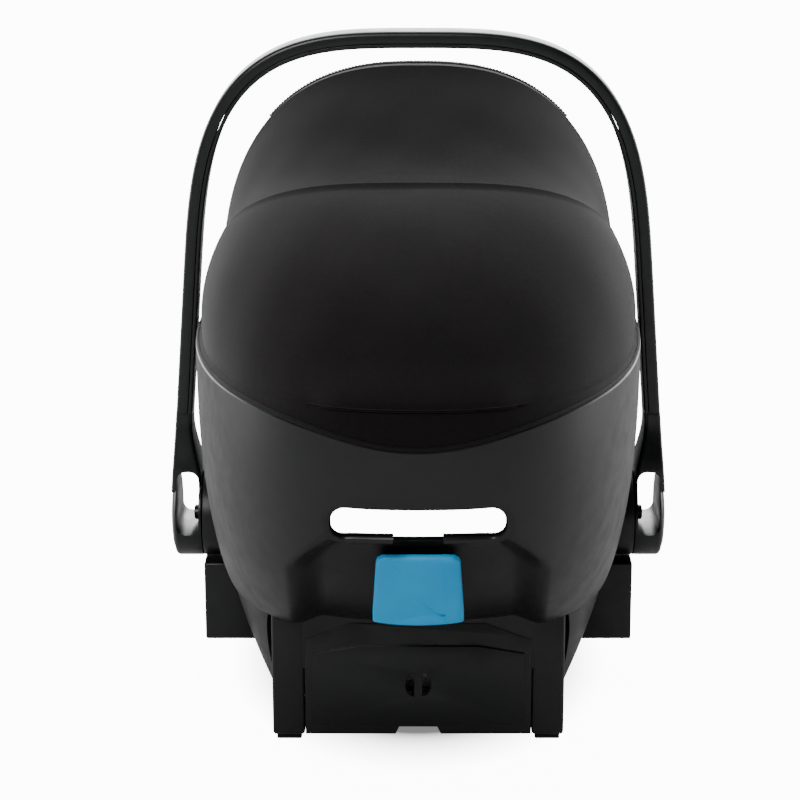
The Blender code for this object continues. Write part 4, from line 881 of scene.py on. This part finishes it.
def make_lever():
    top, foot, look = np.array(LEVER_TOP), np.array(LEVER_FOOT), LOOKS["lever_plastic"]
    length = np.linalg.norm(foot - top)
    down = (foot - top) / length
    inward = np.array((-down[1], down[0]))

    def place(x, along, height):
        crown = LEVER_CROWN * (1.0 - (x / LEVER_FOOT_HALF) ** 2)
        curl = max(0.0, along / length - LEVER_CURL_FROM) / (1.0 - LEVER_CURL_FROM)
        out = height + crown * (height > -0.001) + LEVER_CURL * curl
        y, z = top + down * along - inward * out
        return x, y, z

    plate = shield("lever_plate", lever_outline(length), place, LEVER_PROFILE, look)
    groove = rounded(GROOVE_HALF, GROOVE_HALF_WIDE, GROOVE_ROUND, (0.0, length - GROOVE_UP), 4)
    carve(plate, [skin("groove_tool", [[place(x, along, h) for x, along in groove]
                                       for h in (-0.0006, 0.006)], look)])
    smooth_by(plate, 40.0)
    fit(plate, "lever", "lever_plastic")
    ears = refined("release_lever", "lever", "lever_plastic", 0.0003, "lever_ears")
    trim_ears(ears, top + inward * (LEVER_THICK * 0.7), inward)


# ---------------------------------------------------------------- foam liner and padded seat
def floor_height(y):
    return FLOOR_BASE + np.hypot(FLOOR_SLOPE * (FLOOR_LOW_Y - y), FLOOR_ROUND)


def bowl_height(x, y, inset):
    wide = RIM_HALF - LINER_GAP - inset
    reach = REACH - LINER_GAP - inset
    share = ((np.abs(x) / wide) ** PLAN_POWER + (np.abs(y) / reach) ** PLAN_POWER)
    share = np.minimum(share ** (1 / PLAN_POWER), 1.0)
    steep = np.sqrt(np.maximum(0.0, 1.0 - share ** (2 / BOWL_POWER)))
    return LINER_TOP - (LINER_TOP - floor_height(y) - inset) * steep


def bowl_rim(angle, top):
    s = signed_power(np.sin(angle), PLAN_POWER)
    return np.where(s > 0, top - FOOT_DROP * s * s, top)


def bowl_ring(share, inset, top, angle, sink=0.0):
    c, s = plan(angle)
    x = share * c * (RIM_HALF - LINER_GAP - inset)
    y = share * s * (REACH - LINER_GAP - inset)
    z = np.minimum(bowl_height(x, y, inset), bowl_rim(angle, top)) - sink
    return np.stack([x, y, z], axis=-1)


def bowl_shares(count):
    """Ring sizes from the rim to the middle, closer together on the steep wall."""
    part = np.linspace(0.0, 1.0, count)
    return 1.0 - 0.97 * part ** 1.5


def make_liner():
    angle = plan_angles(160)
    shares = bowl_shares(30)
    outer = [bowl_ring(s, 0.0, LINER_TOP, angle) for s in shares]
    inner = [bowl_ring(s, LINER_WALL, LINER_TOP, angle) for s in shares]
    rings = outer[::-1] + inner
    liner = skin("liner", rings, LOOKS["foam"], sharp=50.0)
    fit(liner, "carrier", "foam", "foam_liner")


def quilt_depth(x, y):
    """How far the sewn channels pull the seat cover down."""
    lines = np.abs((y + QUILT_START) % QUILT_PITCH - QUILT_PITCH / 2)
    across = np.exp(-((lines / 0.0040) ** 2))
    middle = np.exp(-(((np.abs(x) - QUILT_HALF) / 0.0030) ** 2))
    return QUILT_DEPTH * np.maximum(across * (np.abs(x) > QUILT_HALF), middle)


def make_seat_cover():
    """The padded cover: over the liner's edge, down its wall and across its floor."""
    angle = plan_angles(224)
    c, s = plan(angle)

    def rim_ring(inset, rise):
        x = c * (RIM_HALF - LINER_GAP - inset)
        y = s * (REACH - LINER_GAP - inset)
        return np.stack([x, y, bowl_rim(angle, LINER_TOP) + rise], axis=-1)

    inset = COVER_INSET + COVER_CLOTH
    top = [rim_ring(*pair) for pair in COVER_OVER]
    for share in bowl_shares(44)[1:]:
        ring = bowl_ring(share, inset, LINER_TOP, angle)
        ring[:, 2] -= quilt_depth(ring[:, 0], ring[:, 1])
        ring[:, 2] += wobble(ring, 0.05, 0.0006)
        top.append(ring)
    back = [rim_ring(*pair) for pair in COVER_UNDER]
    for share in bowl_shares(24)[1:]:
        back.append(bowl_ring(share, COVER_INSET, LINER_TOP, angle))
    cover = skin("seat_cover_pad", top[::-1] + back, LOOKS["seat_fabric"], sharp=70.0)
    fit(cover, "carrier", "seat_fabric", "seat_cover")
    rim = rim_ring(-0.0034, -0.0005)
    piping = sweep("seat_cover_piping", rim[::2], circle(0.0019, 8), BINDING, closed=True)
    fit(piping, "carrier", "seat_fabric")
    line = rim_ring(0.0105, 0.0052)
    sewn = stitches("seat_cover_stitching", np.vstack([line, line[:1]]), 0.0062, 0.0040, 0.00045)
    fit(sewn, "carrier", "webbing")


def points_of(piece):
    return np.array([v.co for v in piece.data.vertices])


def move_points(piece, points):
    piece.data.vertices.foreach_set("co", points.astype(np.float32).ravel())
    piece.data.update()


def simulate_pad(piece, frames=20, pressure=4.0):
    """Where the pad's points go when it is blown up a little as cloth."""
    cloth = piece.modifiers.new("swell", "CLOTH")
    settings = cloth.settings
    settings.quality = 6
    settings.mass = 0.2
    settings.tension_stiffness = 12.0
    settings.compression_stiffness = 12.0
    settings.bending_stiffness = 0.6
    settings.use_pressure = True
    settings.uniform_pressure_force = pressure
    settings.effector_weights.gravity = 0.0
    cloth.point_cache.frame_start = 1
    cloth.point_cache.frame_end = frames
    scene = bpy.context.scene
    for number in range(1, frames + 1):
        scene.frame_set(number)
    graph = bpy.context.evaluated_depsgraph_get()
    mesh = piece.evaluated_get(graph).to_mesh()
    swollen = np.array([v.co for v in mesh.vertices])
    piece.evaluated_get(graph).to_mesh_clear()
    piece.modifiers.clear()
    scene.frame_set(1)
    return swollen


def soft_pad(name, node, body, shrink, cap, voxel, pleat=None):
    """A stuffed piece swollen from a CAD solid: remeshed, shrunk, simulated, capped, smoothed."""
    source = frame["nodes"][node]
    piece = bpy.data.objects.new(name, source.data.copy())
    bpy.context.scene.collection.objects.link(piece)
    remesh = piece.modifiers.new("remesh", "REMESH")
    remesh.mode = "VOXEL"
    remesh.voxel_size = voxel
    settled(piece)
    relax = piece.modifiers.new("relax", "SMOOTH")
    relax.factor = 0.5
    relax.iterations = 3
    draw_in = piece.modifiers.new("draw_in", "DISPLACE")
    draw_in.mid_level = 0.0
    draw_in.strength = -shrink
    settled(piece)
    start = points_of(piece)
    move = simulate_pad(piece) - start
    reach = np.linalg.norm(move, axis=1)
    keep = np.minimum(1.0, cap / np.maximum(reach, 1e-9))
    move_points(piece, start + move * keep[:, None])
    finer = piece.modifiers.new("finer", "SUBSURF")
    finer.levels = finer.render_levels = 1
    settled(piece)
    if pleat:
        points = points_of(piece)
        normal = np.array([v.normal for v in piece.data.vertices])
        move_points(piece, points - normal * pleat(points, normal)[:, None])
    piece.data.materials.clear()
    piece.data.materials.append(LOOKS["seat_fabric"])
    smooth_by(piece, 80.0)
    fit(piece, body, "seat_fabric", node)
    return piece


def channels(centre_y, pitch, half, depth=0.0022):
    """Sewn lines across a pad, on the side that faces up."""
    def pleat(points, normal):
        row = np.abs((points[:, 1] - centre_y + pitch / 2) % pitch - pitch / 2)
        line = np.exp(-((row / 0.0032) ** 2)) * smooth_step((half - np.abs(points[:, 0])) / 0.012)
        return depth * line * (normal[:, 2] > 0.2)
    return pleat


def make_pads():
    soft_pad("seat_pad", "seat_cushion", "carrier", 0.0034, 0.0050, 0.0045,
             channels(0.08, 0.045, 0.085))
    soft_pad("back_pad", "back_cushion", "carrier", 0.0034, 0.0050, 0.0045,
             channels(-0.147, 0.045, 0.085))
    soft_pad("head_pad", "headrest_pad", "headrest", 0.0030, 0.0055, 0.0042)
    for name, _ in SIDES:
        soft_pad(f"strap_pad_{name}", f"shoulder_pad_{name}", "carrier", 0.0014, 0.0022, 0.0026,
                 channels(-0.073, 0.016, 0.030, 0.0010))


# ---------------------------------------------------------------- harness webbing
def top_of(node):
    """What a vertical line meets first on a CAD node, from above."""
    form = bmesh.new()
    form.from_mesh(frame["nodes"][node].data)
    tree = BVHTree.FromBMesh(form)
    form.free()

    def height(x, y):
        hit = tree.ray_cast(Vector((x, y, 1.0)), Vector((0.0, 0.0, -1.0)))[0]
        return np.nan if hit is None else hit.z
    return height


def strap_heights(node, middle, side, lanes, width):
    """Heights of the CAD strap's top, along the route and across its lanes, smoothed."""
    top, count = top_of(node), len(middle)
    heights = np.array([[top(*(middle[i] + side[i] * lane * width * 0.46)) for lane in lanes]
                        for i in range(count)])
    for column in heights.T:
        known = np.flatnonzero(~np.isnan(column))
        column[:] = np.interp(np.arange(count), known, column[known])
    for _ in range(4):
        heights[1:-1] = (heights[:-2] + 2 * heights[1:-1] + heights[2:]) / 4
    return heights


def strap(name, node, width, route, count=36):
    """Webbing over its CAD solid's top face, with a rolled selvedge on each side."""
    middle = even([(x, y, 0.0) for x, y in route], count)[:, :2]
    lanes = np.linspace(-1.0, 1.0, 9)
    along = unit(np.gradient(middle, axis=0))
    side = np.stack([-along[:, 1], along[:, 0]], axis=1)
    heights = strap_heights(node, middle, side, lanes, width)
    rings = []
    for i in range(count):
        over, under = [], []
        for lane, height in zip(lanes, heights[i]):
            x, y = middle[i] + side[i] * lane * width / 2
            edge = SELVEDGE * (abs(lane) > 0.9)
            over.append((x, y, height - edge))
            under.append((x, y, height - WEBBING_THICK + edge))
        rings.append(over + under[::-1])
    piece = skin(name, rings, LOOKS["webbing"], sharp=50.0)
    fit(piece, "carrier", "webbing", node)
    for tag, lane, outer, near in (("a", -0.40, 0, 1), ("b", 0.40, -1, -2)):
        line = []
        for i in range(1, count - 1):
            x, y = middle[i] + side[i] * lane * width
            line.append((x, y, (heights[i, outer] + heights[i, near]) / 2 + 0.0002))
        sewn = stitches(f"{name}_sewn_{tag}", line, 0.0050, 0.0034, 0.00035)
        fit(sewn, "carrier", "webbing")


def make_straps():
    for name, side in SIDES:
        strap(f"shoulder_webbing_{name}", f"shoulder_strap_{name}", 0.038,
              [(side * 0.036, -0.108), (side * 0.040, -0.060), (side * 0.043, 0.014)])
        strap(f"hip_webbing_{name}", f"hip_strap_{name}", 0.030,
              [(side * 0.111, 0.050), (side * 0.071, 0.050)], 20)
    strap("crotch_webbing", "crotch_strap", 0.038, [(0.0, 0.0905), (0.0, 0.1225)], 16)
    strap("adjuster_webbing", "adjuster_strap", 0.025, [(0.0, 0.2015), (0.0, 0.2495)], 24)


# ---------------------------------------------------------------- canopy
def bow_line(half, reach, lean, power, share, grow=FABRIC_OUT):
    """Points on a bow's arch; share runs from one pivot, 0, over the top to the other, 1."""
    turn = math.pi * share
    tilt = math.radians(lean)
    run = (reach + grow) * np.abs(np.sin(turn)) ** (2.0 / power)
    drawn = half + grow - BOW_DRAW * smooth_step(run / BOW_DRAW_RUN)
    x = drawn * signed_power(np.cos(turn), power)
    return np.stack([x, PIVOT.y + run * math.sin(tilt), PIVOT.z + run * math.cos(tilt)], axis=-1)


def base_line(inset, share, height):
    turn = -math.pi * share
    c, s = plan(turn)
    return np.stack([c * (RIM_HALF - inset), s * (REACH - inset), height(turn)], axis=-1)


def shares_between(first, last, count, half, reach, power):
    """Shares that space points evenly along an arch."""
    dense = np.linspace(first, last, 3000)
    line = bow_line(half, reach, 0.0, power, dense)
    run = run_along(line)
    return np.interp(np.linspace(0.0, run[-1], count), run, dense)


def between(first, second, parts, bulge, share):
    """Rows between two lines, swollen away from the centre, less towards the pivots."""
    weight = np.maximum(0.0, np.sin(math.pi * share)) ** SWELL_POWER
    rows = []
    for part in parts:
        row = lerp(first, second, part)
        away = unit(row - DOME_CENTRE) * weight[:, None]
        rows.append(row + away * bulge * 4 * part * (1 - part))
    return rows


def tip(edge, near, reach):
    """The rounded end of a sheet: past its edge by reach, or by its last step if shorter."""
    step = edge - near
    return edge + step * min(1.0, reach / np.linalg.norm(step))


def cloth(name, rows, look, thick=FABRIC_THICK, sharp=60.0):
    """A closed sheet under a grid of outer points, its side edges rounded over."""
    outer = np.array(rows)
    normal = grid_normals(outer, DOME_CENTRE, wrap=False)
    inner = outer - normal * thick
    middle = outer - normal * thick / 2
    rings = []
    for top, half, low in zip(outer, middle, inner):
        left, right = tip(half[0], half[1], thick / 2), tip(half[-1], half[-2], thick / 2)
        rings.append([left, *top, right, *low[::-1]])
    return skin(name, rings, look, sharp=sharp)


def make_dome():
    """The cloth from the shell's rim, over the folded band, to the rear bow. Gives its base line."""
    share = shares_between(0.030, 0.970, 150, REAR_HALF, REAR_REACH, REAR_POWER)
    rear = bow_line(REAR_HALF, REAR_REACH, REAR_LEAN, REAR_POWER, share)
    base = base_line(0.0020, share, lambda t: rim_height(t) + 0.0035)
    hem = base_line(0.0052, share, lambda t: rim_height(t) - 0.0030)
    crease = base_line(0.0055, share, lambda t: np.maximum(DOME_CREASE, rim_height(t) + 0.006))
    middle = smooth_step((CREASE_HALF - np.abs(crease[:, 0])) / CREASE_FADE)[:, None]
    outward, upward = np.array((0.0, -1.0, 0.0)), np.array((0.0, 0.0, 1.0))
    band = [lerp(base, crease, part) + outward * 0.0012 * math.sin(math.pi * part) * middle
            for part in (0.0, 0.2, 0.4, 0.6, 0.8, 0.93)]
    fold = [crease + upward * rise - outward * inward * middle for inward, rise in CREASE_FOLD]
    parts = np.linspace(0.0, 1.0, 52) ** 1.15
    dome = between(crease + upward * 0.0044, rear, parts, DOME_BULGE, share)[1:]
    for k in range(LIP_ROWS):
        lip = float(smooth_step(1.0 - parts[k + 1] / parts[LIP_ROWS]))
        dome[k] = dome[k] + middle * outward * CREASE_LIP * lip
    over_back = bow_line(REAR_HALF, REAR_REACH, REAR_LEAN + 1.6, REAR_POWER, share,
                         FABRIC_OUT - 0.0010)
    rows = [hem] + band + fold + dome + [over_back]
    levels = np.sin(math.pi * np.linspace(0.0, 1.0, len(rows))[1:-1]) ** 0.5
    for k, level in enumerate(levels, 1):
        wave = wobble(rows[k], 0.036, 0.0007 * level)[:, None]
        rows[k] = rows[k] + unit(rows[k] - DOME_CENTRE) * wave
    back = cloth("canopy_back", rows, LOOKS["canopy_fabric"])
    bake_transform(back)
    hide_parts("canopy_rear_panel")
    return base


def make_roof(share):
    """The cloth between the two bows."""
    rear_edge = bow_line(REAR_HALF, REAR_REACH, REAR_LEAN - 0.8, REAR_POWER, share,
                         FABRIC_OUT - 0.0022)
    front = bow_line(FRONT_HALF, FRONT_REACH, FRONT_LEAN, FRONT_POWER, share)
    parts = np.linspace(0.0, 1.0, 40)
    panel = between(rear_edge, front, parts, PANEL_SAG, share)
    for k, row in enumerate(panel):
        level = math.sin(math.pi * parts[k])
        panel[k] = row + wobble(row, 0.030, 0.0006 * level, 1.3)[:, None] * np.array((0, 0, 1.0))
    top = cloth("canopy_top", panel, LOOKS["canopy_fabric"])
    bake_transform(top)
    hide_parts("canopy_front_panel")


def make_canopy():
    base = make_dome()
    share = shares_between(0.045, 0.955, 150, FRONT_HALF, FRONT_REACH, FRONT_POWER)
    make_roof(share)
    visor = bow_line(FRONT_HALF - 0.002, VISOR_REACH, VISOR_LEAN, FRONT_POWER, share,
                     FABRIC_OUT - ROLL_RADIUS)
    front_edge = bow_line(FRONT_HALF, FRONT_REACH, FRONT_LEAN + 0.9, FRONT_POWER, share)
    brim_rows = between(front_edge, visor, np.linspace(0.0, 1.0, 14), 0.003, share)
    brim = cloth("canopy_brim", brim_rows, LOOKS["canopy_fabric"])
    fit(brim, "front_bow", "canopy_fabric", "canopy_visor")
    make_zips(brim_rows)
    make_canopy_trim(share, visor, base)


def make_zips(brim_rows):
    """A zip along the brim, behind the rolled rim: its tape and its teeth."""
    for name, k, trim in (("rear", 4, 34), ("front", 8, 26)):
        row, near = brim_rows[k], brim_rows[k - 1]
        out = unit(np.cross(np.gradient(row, axis=0), row - near))
        out *= np.sign(np.sum(out * (row - DOME_CENTRE), axis=1))[:, None]
        inner = slice(trim, len(row) - trim)
        line = even((row + out * 0.0004)[inner], 110)
        away = even(out[inner], 110)
        tape = sweep(f"canopy_zip_tape_{name}", line, circle(0.0032, 10, 0.26), BINDING, away)
        fit(tape, "front_bow", "canopy_fabric")
        teeth = stitches(f"canopy_zip_teeth_{name}", line + away * 0.0007, 0.0030, 0.0022,
                         0.0008, ZIP)
        fit(teeth, "front_bow", "base_plastic")


def make_canopy_trim(share, visor, base):
    roll = sweep("canopy_brim_roll", visor, circle(ROLL_RADIUS, 16), BINDING, (0.0, 1.0, 0.0))
    fit(roll, "front_bow", "canopy_fabric")
    sewn = bow_line(FRONT_HALF - 0.0015, VISOR_REACH - 0.0060, VISOR_LEAN - 3.4, FRONT_POWER,
                    share[6:-6], FABRIC_OUT + 0.0006)
    fit(stitches("canopy_brim_stitching", sewn, 0.0052, 0.0034, 0.0004), "front_bow", "webbing")
    hem = sweep("canopy_hem_piping", base + np.array((0.0, 0.0, -0.0008)), circle(0.0017, 8),
                BINDING, (0.0, 0.0, 1.0))
    fit(hem, "carrier", "canopy_fabric")


# ---------------------------------------------------------------- floor, light and camera
def make_stage():
    """A pale floor that glows as the camera sees it, with a painted shadow under the seat: a gradient
    dims the glow there.
    """
    form = bmesh.new()
    corners = [form.verts.new((x * FLOOR_SIZE, y * FLOOR_SIZE, FLOOR_LEVEL))
               for x, y in ((-1, -1), (1, -1), (1, 1), (-1, 1))]
    form.faces.new(corners)
    look = bpy.data.materials.new("floor_look")
    look.use_nodes = True
    tree = look.node_tree
    shader = tree.nodes["Principled BSDF"]
    for key, value in (("Base Color", (0.40, 0.40, 0.40, 1.0)), ("Roughness", 0.9),
                       ("Specular IOR Level", 0.1), ("Emission Color", (1.0, 1.0, 1.0, 1.0))):
        shader.inputs[key].default_value = value
    place = tree.nodes.new("ShaderNodeTexCoord")
    fitted = tree.nodes.new("ShaderNodeMapping")
    fitted.vector_type = "TEXTURE"
    fitted.inputs["Location"].default_value = (*PAINTED_SHADOW_CENTRE, 0.0)
    fitted.inputs["Scale"].default_value = (*PAINTED_SHADOW_REACH, 1.0)
    tree.links.new(place.outputs["Object"], fitted.inputs["Vector"])
    shadow_gradient = tree.nodes.new("ShaderNodeTexGradient")
    shadow_gradient.gradient_type = "SPHERICAL"
    tree.links.new(fitted.outputs["Vector"], shadow_gradient.inputs["Vector"])
    # Painted shadow: the gradient dims the floor's camera glow round the seat, beside whatever the
    # lamps cast.
    painted_shadow = ranged(tree, shadow_gradient.outputs["Fac"], 1.0, 0.02, 0.0, 0.30)
    glow = seen_or_lit(tree, FLOOR_LIGHT, FLOOR_SEEN)
    tree.links.new(combined(tree, "MULTIPLY", glow, painted_shadow), shader.inputs["Emission Strength"])
    floor = finish_mesh("studio_floor", form, look)


def seen_or_lit(tree, lit, seen):
    """One strength for what the camera sees and another for the light it gives."""
    ray = tree.nodes.new("ShaderNodeLightPath")
    pick = tree.nodes.new("ShaderNodeMapRange")
    tree.links.new(ray.outputs["Is Camera Ray"], pick.inputs["Value"])
    feed(tree, lit, pick.inputs["To Min"])
    pick.inputs["To Max"].default_value = seen
    return pick.outputs["Result"]


def make_sky():
    """White all round: bright where it is seen, softer as a light."""
    world = bpy.data.worlds.new("studio_sky")
    bpy.context.scene.world = world
    world.use_nodes = True
    tree = world.node_tree
    background = tree.nodes["Background"]
    background.inputs["Color"].default_value = (1.0, 1.0, 1.0, 1.0)
    place = tree.nodes.new("ShaderNodeTexCoord")
    parts = tree.nodes.new("ShaderNodeSeparateXYZ")
    tree.links.new(place.outputs["Generated"], parts.inputs["Vector"])
    behind = ranged(tree, parts.outputs["Y"], SKY_FRONT, SKY_BACK, 0.22, 0.95)
    tree.links.new(seen_or_lit(tree, behind, SKY_SEEN), background.inputs["Strength"])


def add_light(name, place, size, power):
    light = bpy.data.lights.new(name, "AREA")
    light.shape = "RECTANGLE"
    light.size, light.size_y = size
    light.energy = power
    holder = bpy.data.objects.new(name, light)
    bpy.context.scene.collection.objects.link(holder)
    holder.location = place
    aim = Vector(LIGHT_TARGET) - Vector(place)
    holder.rotation_euler = aim.to_track_quat("-Z", "Y").to_euler()


def make_lights():
    for light in LIGHTS:
        add_light(*light)


def make_camera():
    data = bpy.data.cameras.new("camera")
    data.lens = CAMERA_LENS
    data.shift_x = CAMERA_SHIFT
    camera = bpy.data.objects.new("camera", data)
    bpy.context.scene.collection.objects.link(camera)
    camera.location = CAMERA_PLACE
    camera.rotation_euler = (math.radians(90.0 - CAMERA_PITCH), 0.0, 0.0)
    bpy.context.scene.camera = camera


# ---------------------------------------------------------------- the whole seat
make_camera()
make_shell()
make_grip_lip()
make_rails()
make_hardware()
make_handle()
make_lever()
make_liner()
make_seat_cover()
make_pads()
make_straps()
make_canopy()
repaint_frame()
make_stage()
make_sky()
make_lights()
